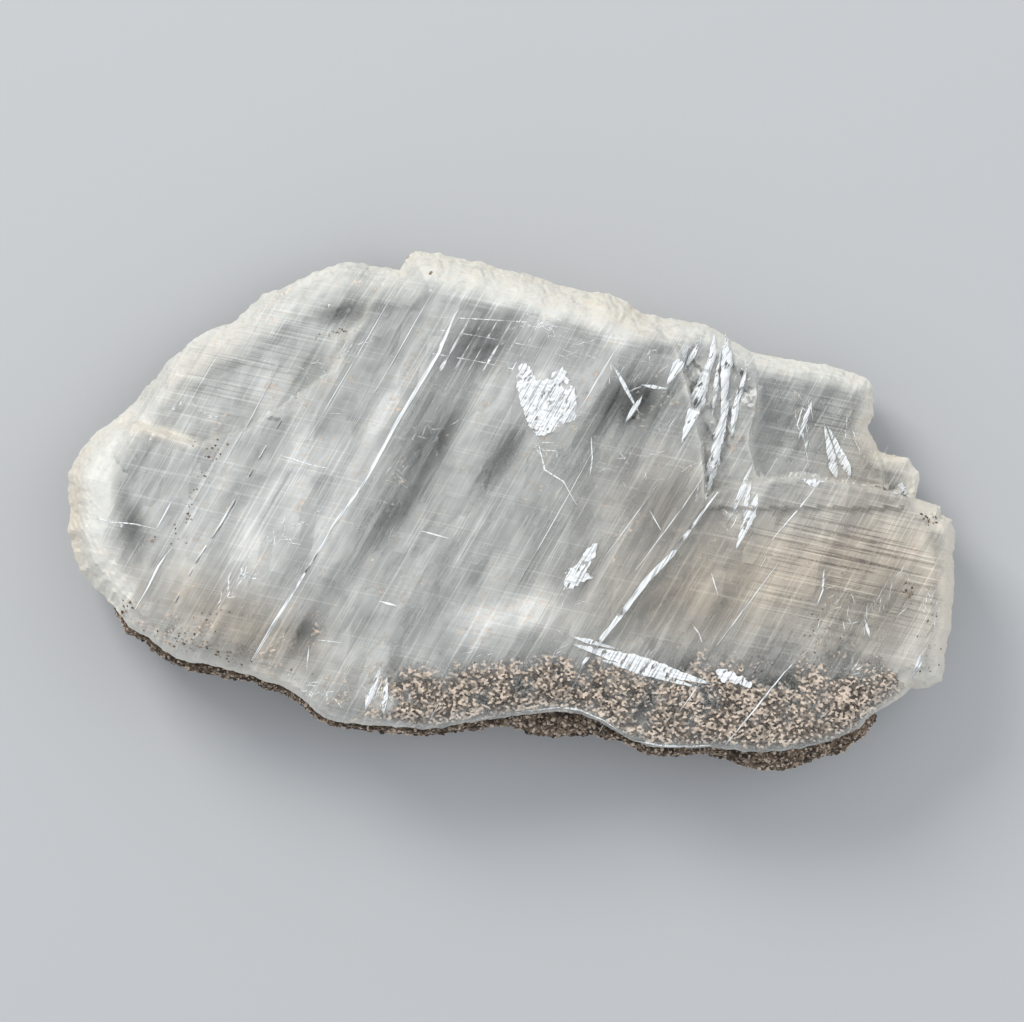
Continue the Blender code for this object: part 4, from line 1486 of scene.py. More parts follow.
SHARDS = (
    Shard((26.2, 10.4), (30.7, 22.3), 2.5, 0.62, 1.4, 18.0),
    Shard((28.0, 15.6), (31.0, 24.5), 1.3, 0.5, 1.0, -24.0),
    Shard((29.9, 1.6), (32.4, 13.0), 1.9, 0.55, 1.9, 14.0),
    Shard((30.9, 7.2), (33.6, 17.4), 1.7, 0.42, 1.6, -16.0),
    Shard((32.5, 12.4), (33.6, 28.0), 1.7, 0.68, 1.5, 12.0),
    Shard((31.0, 14.4), (32.4, 25.0), 0.9, 0.5, 1.2, 28.0),
    Shard((24.0, 19.4), (27.5, 25.6), 1.7, 0.45, 0.7, 16.0),
    Shard((26.6, 21.4), (29.6, 27.2), 1.0, 0.5, 0.7, -22.0),
    Shard((30.5, 20.6), (31.7, 27.6), 1.2, 0.55, 1.0, 20.0),
    Shard((34.0, 11.2), (35.0, 19.0), 1.1, 0.5, 0.9, 24.0),
    Shard((34.8, 16.0), (36.4, 22.6), 0.8, 0.5, 0.8, -24.0),
    Shard((33.2, -2.0), (37.4, 7.6), 0.9, 0.55, 0.15, 10.0),
    Shard((34.6, -5.8), (38.1, 3.0), 1.8, 0.6, 0.15, 8.0),
    Shard((35.6, -1.0), (37.0, 5.0), 0.7, 0.5, 0.15, -12.0),
    Shard((50.4, 5.0), (48.4, 13.8), 1.5, 0.22, 0.6, 16.0),
    Shard((52.6, 5.3), (49.0, 13.2), 1.4, 0.22, 0.6, -16.0),
    Shard((44.5, 11.2), (46.7, 17.4), 0.8, 0.5, 0.3, 10.0),
    Shard((45.4, 8.6), (46.0, 11.8), 0.4, 0.5, 0.3, 10.0),
    Shard((61.9, -26.2), (63.0, -21.4), 1.0, 0.5, 0.12, 8.0),
    Shard((54.3, -16.3), (55.2, -19.6), 0.5, 0.5, 0.12, 8.0),
    Shard((15.8, 22.6), (19.9, 14.8), 0.5, 0.4, 0.12, 8.0),
    Shard((20.0, 19.4), (24.2, 18.7), 0.6, 0.5, 0.12, 8.0),
    Shard((17.6, 13.6), (20.4, 18.0), 0.9, 0.5, 0.12, 8.0),
    Shard((9.6, -20.3), (30.8, -26.4), 2.3, 0.5, 0.08, 1.5),
    Shard((13.6, -22.6), (29.6, -27.2), 1.1, 0.4, 0.06, -2.0),
    Shard((9.0, -19.0), (17.0, -21.2), 0.7, 0.4, 0.06, 2.0),
    Shard((-22.2, -30.4), (-19.6, -23.4), 1.2, 0.35, 0.1, 10.0),
    Shard((-19.4, -31.0), (-18.8, -25.0), 1.0, 0.4, 0.1, -10.0),
)


@dataclass
class Flakes:
    """The white flakes and fracture patches on the crystal.

    Args:
        shape: the crystal they sit on.
        spacing: distance between the points of crumpled ones.
        buried: how far they reach into the crystal.
    """

    shape: CrystalShape
    spacing: float = 0.28
    buried: float = 0.5

    def crumpled(self, solid: Solid, flake: Flake, number: int) -> None:
        """Adds a patch with a jagged outline and a wrinkled, faceted face."""
        rim = rows(refined(tuple(flake.outline) + (flake.outline[0],), self.spacing)[:-1])
        outward = side_vectors(rim, closed=True)
        jag = 0.5 * wobble(rim, 0.9, 71.0 + number) + 0.45 * streaks(rim, CLEAVAGE, 2.0, 0.35, 73.0)
        outline = [tuple(p) for p in rim + outward * jag[:, None]]
        points = far_from([outline], lattice(outline, self.spacing), 0.15)

        def top(flat: np.ndarray) -> np.ndarray:
            """Height of the patch's upper face."""
            bent = flat + 0.9 * np.stack([wobble(flat, 1.7, 120.0), wobble(flat, 1.7, 121.0)], axis=1)
            wrinkles = 0.5 * np.abs(streaks(bent, -6.0, 3.0, 0.55, 76.0))
            rough = facets(flat, 1.2, 0.45, 5.0) + wrinkles
            return np.minimum(self.shape.top(flat) + flake.rise + np.maximum(rough, -0.3), FRONT_PLATE + 0.2)

        solid.plate(outline, [], points, top, lambda flat: self.shape.top(flat) - self.buried)

    def shard(self, solid: Solid, shard: Shard, number: int) -> None:
        """Adds one shard: a thin pointed plate with a ridge and ribs along it.

        Args:
            solid: the mesh in the making.
            shard: its places and sizes.
            number: chooses its unevenness.
        """
        start, end = np.array(shard.start), np.array(shard.end)
        length = float(np.hypot(*(end - start)))
        way = (end - start) / length
        across = np.array([-way[1], way[0]])
        parts = np.linspace(0, 1, max(6, math.ceil(length / 0.45)))
        sides = (-1.0, -0.55, -0.15, 0.2, 0.6, 1.0)
        widest = shard.widest
        swell = np.where(parts < widest, parts / widest, (1 - parts) / (1 - widest)) ** 0.75
        line = start + parts[:, None] * (end - start)
        edge = [wobble(line * (1, sign), 0.8, 101.0 + number) for sign in (1, -1)]
        upper, lower = [], []
        for k, (centre, broad) in enumerate(zip(line, swell)):
            surface = self.shape.top(centre[None])[0]
            half = shard.width / 2 * max(broad, 0.03)
            for j, side in enumerate(sides):
                jag = 1 + 0.35 * edge[0 if side < 0 else 1][k] * abs(side)
                place = centre + across * half * side * jag
                rib = 0.09 * ((j + number) % 2) + shard.rise * broad * (1 - 0.5 * abs(side))
                height = surface + 0.04 + rib + math.tan(math.radians(shard.lean)) * half * side
                height = min(height, FRONT_PLATE + 0.2)
                upper.append((*place, height))
                lower.append((*place, height - 0.22))
        around = len(sides)
        first = solid.add(upper + lower, [])
        base = first + len(upper)
        for k in range(len(parts) - 1):
            for j in range(around - 1):
                a = k * around + j
                solid.faces.append([first + a, first + a + around, first + a + around + 1, first + a + 1])
                solid.faces.append([base + a, base + a + 1, base + a + around + 1, base + a + around])
            for j, flip in ((0, False), (around - 1, True)):
                a = k * around + j
                face = [first + a, base + a, base + a + around, first + a + around]
                solid.faces.append(face[::-1] if flip else face)
        for k, flip in ((0, True), (len(parts) - 1, False)):
            ends = [first + k * around + j for j in range(around)]
            ends += [base + k * around + j for j in reversed(range(around))]
            solid.faces.append(ends[::-1] if flip else ends)

    def build(self) -> bpy.types.Object:
        """Builds all flakes as one object."""
        solid = Solid()
        for number, shard in enumerate(SHARDS):
            self.shard(solid, shard, number)
        for number, flake in enumerate(FLAKES):
            self.crumpled(solid, flake, number)
        return solid.finished("white_flakes", PearlyWhite().material("pearly_white"))


@dataclass(frozen=True)
class Tangle:
    """A patch of short crooked cracks.

    Args:
        x, y: its middle.
        length, width: how far it spreads along and across its direction.
        angle: its direction, in degrees from +X.
        spread: how much its cracks turn away from that direction.
        count: how many cracks it has.
        longest: the longest crack.
        thick: the widest crack.
    """

    x: float
    y: float
    length: float
    width: float
    angle: float
    spread: float
    count: int
    longest: float
    thick: float


TANGLES = (
    Tangle(4.5, 28.6, 5.0, 1.6, 10.0, 60.0, 46, 2.6, 0.2),
    Tangle(8.5, 25.5, 5.5, 2.2, -20.0, 40.0, 36, 3.0, 0.16),
    Tangle(5.0, 9.8, 3.4, 1.2, -20.0, 70.0, 14, 3.0, 0.22),
    Tangle(35.6, 21.5, 5.0, 1.3, 75.0, 60.0, 44, 1.8, 0.26),
    Tangle(35.0, -0.5, 5.5, 1.6, 70.0, 45.0, 26, 2.6, 0.22),
    Tangle(32.0, 12.0, 8.0, 2.2, 78.0, 25.0, 26, 3.5, 0.25),
    Tangle(18.5, 20.0, 5.0, 4.0, 60.0, 50.0, 22, 4.2, 0.22),
    Tangle(22.5, 9.0, 5.5, 3.6, 60.0, 45.0, 22, 3.6, 0.16),
    Tangle(17.0, 6.0, 5.0, 4.0, 55.0, 60.0, 18, 3.0, 0.12),
    Tangle(-13.5, 12.0, 4.0, 2.4, 10.0, 80.0, 26, 2.2, 0.12),
    Tangle(-18.5, 4.5, 4.0, 2.4, 50.0, 80.0, 20, 2.2, 0.12),
    Tangle(-43.2, -12.5, 7.5, 0.8, 52.0, 40.0, 40, 3.2, 0.4),
    Tangle(-35.0, -3.5, 6.0, 1.2, 35.0, 40.0, 30, 3.0, 0.3),
    Tangle(-27.5, 24.5, 4.5, 1.6, 20.0, 40.0, 26, 2.4, 0.22),
    Tangle(-47.0, 14.5, 5.0, 1.6, -12.0, 30.0, 22, 3.0, 0.2),
    Tangle(-36.0, 20.0, 10.0, 4.0, -10.0, 20.0, 26, 3.4, 0.14),
    Tangle(-55.0, 20.5, 6.0, 1.2, 38.0, 50.0, 16, 2.0, 0.2),
    Tangle(45.5, 14.0, 5.0, 1.6, 100.0, 35.0, 22, 3.0, 0.24),
    Tangle(53.5, 13.0, 3.4, 2.2, 110.0, 40.0, 16, 3.0, 0.3),
    Tangle(50.0, -16.0, 6.5, 3.4, 52.0, 50.0, 44, 2.4, 0.16),
    Tangle(57.5, -14.0, 6.0, 3.0, 65.0, 14.0, 34, 3.4, 0.14),
    Tangle(64.6, -14.0, 8.0, 1.0, 85.0, 30.0, 22, 2.6, 0.26),
    Tangle(52.0, -24.0, 2.4, 1.6, 0.0, 90.0, 12, 2.2, 0.3),
    Tangle(-20.4, -28.2, 3.0, 2.0, 95.0, 30.0, 26, 3.0, 0.24),
    Tangle(-31.5, -27.0, 5.0, 1.2, -20.0, 60.0, 24, 2.2, 0.3),
    Tangle(-6.0, -21.6, 3.0, 1.6, -20.0, 70.0, 14, 2.0, 0.14),
    Tangle(6.0, -22.5, 5.0, 2.0, 40.0, 60.0, 18, 2.4, 0.12),
    Tangle(2.5, -15.5, 8.0, 2.0, 8.0, 50.0, 34, 2.4, 0.12),
    Tangle(20.0, -24.0, 4.0, 1.4, 52.0, 20.0, 12, 3.2, 0.14),
)


# Pale slats between the clear windows near the upper edge, and the lines that cross them
SLATS = tuple(((-8.5 + 2.2 * k, 29.2), (-10.9 + 2.2 * k, 25.0), (-13.0 + 2.2 * k, 21.4)) for k in range(7))
SLAT_LINES = (
    ((-11.6, 27.9), (-4.0, 26.7), (2.6, 25.4)),
    ((-12.6, 24.3), (-5.0, 23.0), (1.0, 21.7)),
    ((-12.0, 29.8), (-4.0, 29.4), (3.6, 28.9)),
)


@dataclass
class Tangles:
    """The short crooked cracks just under the crystal's surface.

    Args:
        shape: the crystal they run through.
        proud: how far they stand out of the surface.
        seed: chooses one of many courses.
    """

    shape: CrystalShape
    proud: float = 0.03
    seed: int = 12

    def build(self) -> bpy.types.Object:
        """Builds all short cracks as one object."""
        solid = Solid()
        luck = np.random.default_rng(self.seed)
        rim = self.shape.outline.tolist()
        for line, width in [(slat, 0.34) for slat in SLATS] + [(line, 0.12) for line in SLAT_LINES]:
            path = rows(refined(line, 0.7))
            widths = width * np.clip(0.55 + 1.8 * wobble(path, 1.2, 131.0), 0.04, 1.5)
            widths *= luck.uniform(0.6, 1.2)
            widths[[0, -1]] *= 0.1
            solid.ribbon([tuple(p) for p in path], widths, self.shape.top(path) + self.proud, 0.3, 0.0)
        for tangle in TANGLES:
            way = math.radians(tangle.angle)
            for _ in range(round(0.5 * tangle.count)):
                spread = luck.normal(0, 0.5, 2) * (tangle.length, tangle.width)
                start = (tangle.x, tangle.y) + turned_rows(spread, tangle.angle)
                heading = way + math.radians(luck.uniform(-1, 1) * tangle.spread)
                count = int(luck.integers(4, 8))
                step = tangle.longest * luck.uniform(0.3, 1.0) / count
                line = [start]
                for _ in range(count):
                    heading += luck.normal(0, 0.2)
                    line.append(line[-1] + step * np.array([math.cos(heading), math.sin(heading)]))
                path = rows(line)
                if not inside(rim, path).all() or self.shape.nearest(path)[0].min() < 0.6:
                    continue
                swell = np.sin(np.linspace(0.12, math.pi - 0.12, len(path))) * luck.uniform(0.35, 1.0)
                solid.ribbon(
                    [tuple(p) for p in path], 0.6 * tangle.thick * swell, self.shape.top(path) + self.proud,
                    luck.uniform(0.3, 1.6), luck.uniform(-0.3, 0.3),
                )
        return solid.finished("crooked_cracks", PearlyWhite(cover=0.7, tears=0.6).material("crooked_white"))


@dataclass(frozen=True)
class Dirt:
    """A patch of brown specks on the crystal.

    Args:
        x, y: its middle.
        length, width: how far it spreads along and across its direction.
        angle: its direction, in degrees from +X.
        count: how many specks it has.
        largest: the largest speck's radius.
    """

    x: float
    y: float
    length: float
    width: float
    angle: float
    count: int
    largest: float


DIRT = (
    Dirt(-48.5, 2.0, 8.0, 1.4, 70.0, 46, 0.16),
    Dirt(-45.0, 9.0, 3.0, 1.6, 60.0, 14, 0.2),
    Dirt(-48.5, 10.5, 0.3, 0.3, 0.0, 3, 0.3),
    Dirt(-46.5, -16.5, 4.0, 2.5, 50.0, 26, 0.14),
    Dirt(-54.6, -4.4, 0.4, 0.3, 60.0, 5, 0.3),
    Dirt(64.2, -1.2, 1.6, 0.8, -14.0, 16, 0.3),
    Dirt(61.0, -12.5, 2.6, 1.2, 100.0, 16, 0.26),
    Dirt(64.0, -18.0, 8.0, 1.8, 90.0, 30, 0.16),
    Dirt(-12.2, 36.6, 0.5, 0.3, 0.0, 4, 0.25),
    Dirt(-27.0, 27.5, 5.0, 0.5, 12.0, 30, 0.14),
    Dirt(47.0, -18.0, 7.0, 3.0, 50.0, 40, 0.14),
    Dirt(0.0, -25.0, 22.0, 2.6, 0.0, 50, 0.16),
    Dirt(30.0, -27.0, 18.0, 3.0, -4.0, 40, 0.16),
    Dirt(46.0, -23.0, 6.0, 4.0, 30.0, 30, 0.2),
    Dirt(-48.0, -20.4, 9.0, 1.4, -18.0, 70, 0.22),
    Dirt(-59.0, -14.8, 1.6, 1.0, 50.0, 26, 0.3),
)


@dataclass
class GritCrust:
    """The crust of sand and clay along the lower edge.

    Args:
        shape: the crystal it sticks to.
        gap: its distance from the crystal.
        under_gap: the same beneath the undercut face.
        lowest: the height below which it doesn't reach.
        below: how thick it is beneath the crystal.
        lump: height of its lumps.
        lean: how far its sections lean towards the middle at the slab's ends, in degrees.
    """

    shape: CrystalShape
    gap: float = 0.3
    under_gap: float = 0.5
    lowest: float = 0.4
    end: float = 1.5
    below: float = 2.2
    lump: float = 0.5
    lean: float = 25.0
    finish: SandAndClay = SandAndClay()

    def section(self, i: int) -> list[tuple[float, float, float]]:
        """The crust's outline at the rim's point i, from the crystal's wall around."""
        shape = self.shape
        x, y = shape.outline[i]
        thick = float(shape.crusts[i])
        foot, head = float(shape.sizes[i][0]), float(shape.sizes[i][1])
        undercut = float(shape.sizes[i][5])
        lean = math.radians(self.lean) * x / 69.0
        inward = (-math.sin(lean), math.cos(lean))
        outward = shape.outward[i]
        here = np.array([[x, y]])

        def bumpy(layer: float, height: float) -> float:
            """Unevenness of the crust at this section."""
            at_height = here + (height * 0.9, height * 0.4)
            coarse, fine = wobble(at_height, 2.4, layer)[0], wobble(at_height, 0.8, layer)[0]
            return self.lump * min(1.0, thick) * (coarse + 0.5 * fine)

        def at(distance: float, height: float) -> tuple[float, float, float]:
            """The point at a distance outside or inside the rim."""
            way = outward if distance >= 0 else inward
            return (x + way[0] * abs(distance), y + way[1] * abs(distance), height)

        reach = undercut
        while shape.back(np.array([at(-reach, 0)[:2]]))[0] < self.end and reach > 0.25:
            reach -= 0.25

        def under(share: float, depth: float) -> tuple[float, float, float]:
            """The point under the crystal at a share of the reach."""
            px, py, _ = at(-share * reach, 0)
            return (px, py, max(self.lowest, shape.back(np.array([[px, py]]))[0] - self.under_gap - depth))

        ceiling = head - 4.0 + 1.3 * wobble(here, 8.0, 23.0)[0] + 0.5 * wobble(here, 1.5, 24.0)[0]
        below = min(self.below, 0.25 * foot + 0.6 * thick)
        section = [at(self.gap, ceiling), at(self.gap, foot - self.under_gap)]
        section += [under(share, 0.0) for share in (0.2, 0.4, 0.6, 0.8, 1.0)]
        section.append(under(0.97, self.end))
        for k in range(6):
            share = 0.85 - 0.15 * k
            section.append(under(share, below * (1 - 0.6 * share) + bumpy(27.0 + k, 0.0)))
        rows_up = 9
        for k in range(rows_up):
            part = k / (rows_up - 1)
            height = foot - below + part * (ceiling - foot + below)
            swell = min(1.0, 0.35 + 2.2 * part) * (1 - max(0.0, part - 0.75) * 2.0)
            distance = self.gap + thick * swell + bumpy(37.0, height) - 0.32
            section.append(at(max(self.gap + 0.1, distance), height))
        section.append(at(self.gap + 0.3 * thick, ceiling + 0.25))
        return section

    def build(self) -> bpy.types.Object:
        """Builds the crust: sections along the rim, joined and capped."""
        crusted = np.flatnonzero(self.shape.crusts > 0)
        sections = [self.section(int(i)) for i in crusted]
        around = len(sections[0])
        solid = Solid()
        solid.add([p for s in sections for p in s], [])
        for k in range(len(sections) - 1):
            for j in range(around):
                a, b = k * around + j, k * around + (j + 1) % around
                solid.faces.append([a, b, b + around, a + around])
        last = (len(sections) - 1) * around
        solid.faces.append(list(range(around))[::-1])
        solid.faces.append([last + j for j in range(around)])
        return solid.finished("clay_crust", self.finish.material())


class NodeKit(Nodes):
    """A Geometry Nodes tree with named inputs, and the plain mesh that it makes."""

    def __init__(self, name: str) -> None:
        """Makes a tree with a geometry input and a geometry output."""
        super().__init__(bpy.data.node_groups.new(name, "GeometryNodeTree"))
        self.tree.interface.new_socket(name="Geometry", in_out="OUTPUT", socket_type="NodeSocketGeometry")
        self.tree.interface.new_socket(name="Geometry", in_out="INPUT", socket_type="NodeSocketGeometry")
        self.group_input = self.tree.nodes.new("NodeGroupInput")
        self.chosen: dict[str, Any] = {}

    def size(self, name: str, value: float | int) -> Value:
        """Adds a named input with its value and returns its output inside the tree."""
        kind = "NodeSocketInt" if isinstance(value, int) else "NodeSocketFloat"
        socket = self.tree.interface.new_socket(name=name, in_out="INPUT", socket_type=kind)
        self.chosen[socket.identifier] = value
        return Value(self, self.group_input.outputs[name])

    def source(self) -> Value:
        """The geometry that the tree works on."""
        return Value(self, self.group_input.outputs["Geometry"])

    def random(self, low: Any, high: Any, seed: Any) -> Value:
        """A random number between low and high for each point or instance."""
        return self.node(
            "FunctionNodeRandomValue",
            {"data_type": "FLOAT"},
            {"Min_001": low, "Max_001": high, "Seed": seed},
            "Value_001",
        )

    def read(self, name: str) -> Value:
        """A number that the mesh carries at each point."""
        return self.node(
            "GeometryNodeInputNamedAttribute", {"data_type": "FLOAT"}, {"Name": name}, "Attribute"
        )

    def vector(self, x: Any, y: Any, z: Any) -> Value:
        """A vector of three values."""
        return self.node("ShaderNodeCombineXYZ", {}, {0: x, 1: y, 2: z})

    def scattered(self, per_mm2: float, cover: Value | float, noun: str, seed: int) -> Value:
        """Points scattered over the source's faces.

        Args:
            per_mm2: how many there are on a square millimetre.
            cover: the share of them that is there at each place.
            noun: what the points stand for, in the name of the tree's input.
            seed: chooses one of many scatterings.

        Returns:
            The points.
        """
        density = self.size(f"{noun} per square metre", per_mm2 / MM**2) * cover
        inputs = {"Mesh": self.source(), "Density": density, "Seed": self.size("Seed", seed)}
        return self.node("GeometryNodeDistributePointsOnFaces", {"distribute_method": "RANDOM"}, inputs)

    def shifted(self, points: Value, height: Value) -> Value:
        """The points moved upwards by a height."""
        inputs = {"Geometry": points, "Offset": self.vector(0.0, 0.0, height)}
        return self.node("GeometryNodeSetPosition", {}, inputs)

    def placed(self, points: Value, shape: Value, turned: Value, sized: Value) -> Value:
        """One instance of a shape at each point."""
        inputs = {"Points": points, "Instance": shape, "Rotation": turned, "Scale": sized}
        return self.node("GeometryNodeInstanceOnPoints", {}, inputs)

    def stones(self, points: Value, turned: Value, sized: Value, brightest: float) -> Value:
        """Coarse stones at the points, each with a random "tone" from 0 to the brightest."""
        stone = self.node("GeometryNodeMeshIcoSphere", {}, {"Radius": 1.0, "Subdivisions": 1})
        return self.node(
            "GeometryNodeStoreNamedAttribute",
            {"domain": "INSTANCE", "data_type": "FLOAT"},
            {
                "Geometry": self.placed(points, stone, turned, sized),
                "Name": "tone",
                "Value": self.random(0.0, brightest, 41),
            },
        )

    def grains(self, points: Value, smallest: float, largest: float, skew: float) -> Value:
        """Sand grains of many sizes at the points.

        Args:
            points: where they are.
            smallest: the smallest radius, in millimetres.
            largest: the largest radius.
            skew: how much rarer the large ones are.

        Returns:
            The grains as instances.
        """
        low = self.size("Smallest radius", smallest * MM)
        high = self.size("Largest radius", largest * MM)
        radius = self.random(0.0, 1.0, 11) ** skew * (high - low) + low
        turned = self.vector(*(self.random(0.0, math.tau, k) for k in (21, 22, 23)))
        sized = self.vector(*(radius * self.random(0.6, 1.25, k) for k in (31, 32, 33)))
        return self.stones(points, turned, sized, 1.0)

    def ends(self, instances: Value, material: bpy.types.Material) -> None:
        """Ends the tree by realising the instances and giving them their material."""
        real = self.node("GeometryNodeRealizeInstances", {}, {"Geometry": instances})
        dressed = self.node("GeometryNodeSetMaterial", {}, {"Geometry": real, "Material": material})
        output = self.tree.nodes.new("NodeGroupOutput")
        self.tree.links.new(dressed.socket, output.inputs["Geometry"])

    def made_on(self, carrier: bpy.types.Object, name: str) -> bpy.types.Object:
        """Runs the tree on an object and turns the result into a plain mesh.

        Args:
            carrier: the object whose surface the tree works on. It is left as it was.
            name: the new object's name.

        Returns:
            The new object, with no modifier.
        """
        modifier = carrier.modifiers.new(name, "NODES")
        modifier.node_group = self.tree
        for identifier, value in self.chosen.items():
            modifier[identifier] = value
        bpy.context.view_layer.update()
        evaluated = carrier.evaluated_get(bpy.context.evaluated_depsgraph_get())
        mesh = bpy.data.meshes.new_from_object(evaluated)
        carrier.modifiers.remove(modifier)
        made = bpy.data.objects.new(name, mesh)
        mesh.name = name
        bpy.context.scene.collection.objects.link(made)
        return made


@dataclass
class SandGrains:
    """The sand grains that stud the crust.

    Args:
        per_mm2: how many grains there are on a square millimetre.
        smallest: the smallest grain's radius.
        largest: the largest grain's radius.
        seed: chooses one of many scatterings.
    """

    per_mm2: float = 2.6
    smallest: float = 0.12
    largest: float = 0.42
    seed: int = 5
    finish: SandAndClay = SandAndClay()

    def build(self, crust: bpy.types.Object) -> bpy.types.Object:
        """Scatters the grains over the crust."""
        kit = NodeKit("sand_grains")
        points = kit.scattered(self.per_mm2, 1.0, "Grains", self.seed)
        toned = kit.grains(points, self.smallest, self.largest, 1.8)
        kit.ends(toned, self.finish.grains())
        return kit.made_on(crust, "sand_grains")


@dataclass
class PressedGrit:
    """The grains that are pressed into the crystal's undercut face and show through it.

    Args:
        shape: the crystal they are pressed into.
        per_mm2: how many grains there are on a square millimetre where they are densest.
        smallest, largest: the radii of the grains.
        depth: how deep in the crystal they lie.
        fade: how far beyond the undercut they thin out.
        spacing: distance between the points of the face that carries them.
        seed: chooses one of many scatterings.
    """

    shape: CrystalShape
    per_mm2: float = 8.5
    smallest: float = 0.12
    largest: float = 0.42
    depth: float = 0.55
    fade: float = 3.0
    spacing: float = 1.0
    seed: int = 9

    def build(self) -> bpy.types.Object:
        """Scatters the grains over the undercut face, just inside the crystal."""
        shape = self.shape
        outline = [tuple(p) for p in shape.outline[::3]]
        points = lattice(outline, self.spacing)
        distances, sizes = shape.nearest(points)
        lower = (sizes[:, 5] > 4.4) & (points[:, 1] < 0)
        points = points[(distances > 1.0) & (distances < sizes[:, 5] + self.fade) & lower]
        flat, faces = triangles_over(outline, [], points)
        distances, sizes = shape.nearest(flat)
        carrier_mesh = Solid()
        level = np.minimum(shape.back(flat) + self.depth, shape.top(flat) - 1.5)
        carrier_mesh.add(np.column_stack([flat, level]), faces)
        cover = shape.gritty(flat, self.fade) * (distances > 0.9)
        material = SandAndClay((0.05, 0.035, 0.025), (0.62, 0.50, 0.41), (0.97, 0.88, 0.80)).grains()
        carrier = carrier_mesh.finished("grit_carrier", material)
        set_attribute(carrier, "cover", cover)
        kit = NodeKit("pressed_grit")
        points = kit.scattered(self.per_mm2, kit.read("cover"), "Grains", self.seed)
        raised = kit.shifted(points, kit.random(0.0, 0.5 * MM, 13))
        toned = kit.grains(raised, self.smallest, self.largest, 1.6)
        kit.ends(toned, material)
        made = kit.made_on(carrier, "pressed_grit")
        bpy.data.objects.remove(carrier)
        return made


@dataclass
class DirtSpecks:
    """The brown specks that are scattered over the crystal.

    Args:
        shape: the crystal they sit on.
        seed: chooses one of many scatterings.
    """

    shape: CrystalShape
    seed: int = 4

    def build(self) -> bpy.types.Object:
        """Scatters the specks: one stone at each chosen place."""
        luck = np.random.default_rng(self.seed)
        places, sizes = [], []
        for dirt in DIRT:
            spread = luck.normal(0, 0.5, (dirt.count, 2)) * (dirt.length, dirt.width)
            places.append(turned_rows(spread, dirt.angle) + (dirt.x, dirt.y))
            sizes.append(dirt.largest * luck.uniform(0.25, 1.0, dirt.count))
        flat, radii = np.concatenate(places), np.concatenate(sizes)
        kept = inside(self.shape.outline.tolist(), flat) & (self.shape.nearest(flat)[0] > 0.5)
        flat, radii = flat[kept], radii[kept]
        carrier_mesh = Solid()
        carrier_mesh.add(np.column_stack([flat, self.shape.top(flat) + 0.02]), [])
        material = SandAndClay((0.09, 0.062, 0.04), (0.32, 0.235, 0.155), (0.5, 0.42, 0.32)).grains()
        carrier = carrier_mesh.finished("speck_carrier", material)
        set_attribute(carrier, "radius", radii * MM)
        kit = NodeKit("dirt_specks")
        radius = kit.read("radius")
        turned = kit.vector(0.0, 0.0, kit.random(0.0, math.tau, kit.size("Seed", self.seed)))
        flattened = kit.vector(radius * kit.random(0.7, 1.6, 31), radius, radius * 0.45)
        toned = kit.stones(kit.source(), turned, flattened, 0.6)
        kit.ends(toned, material)
        made = kit.made_on(carrier, "dirt_specks")
        bpy.data.objects.remove(carrier)
        return made


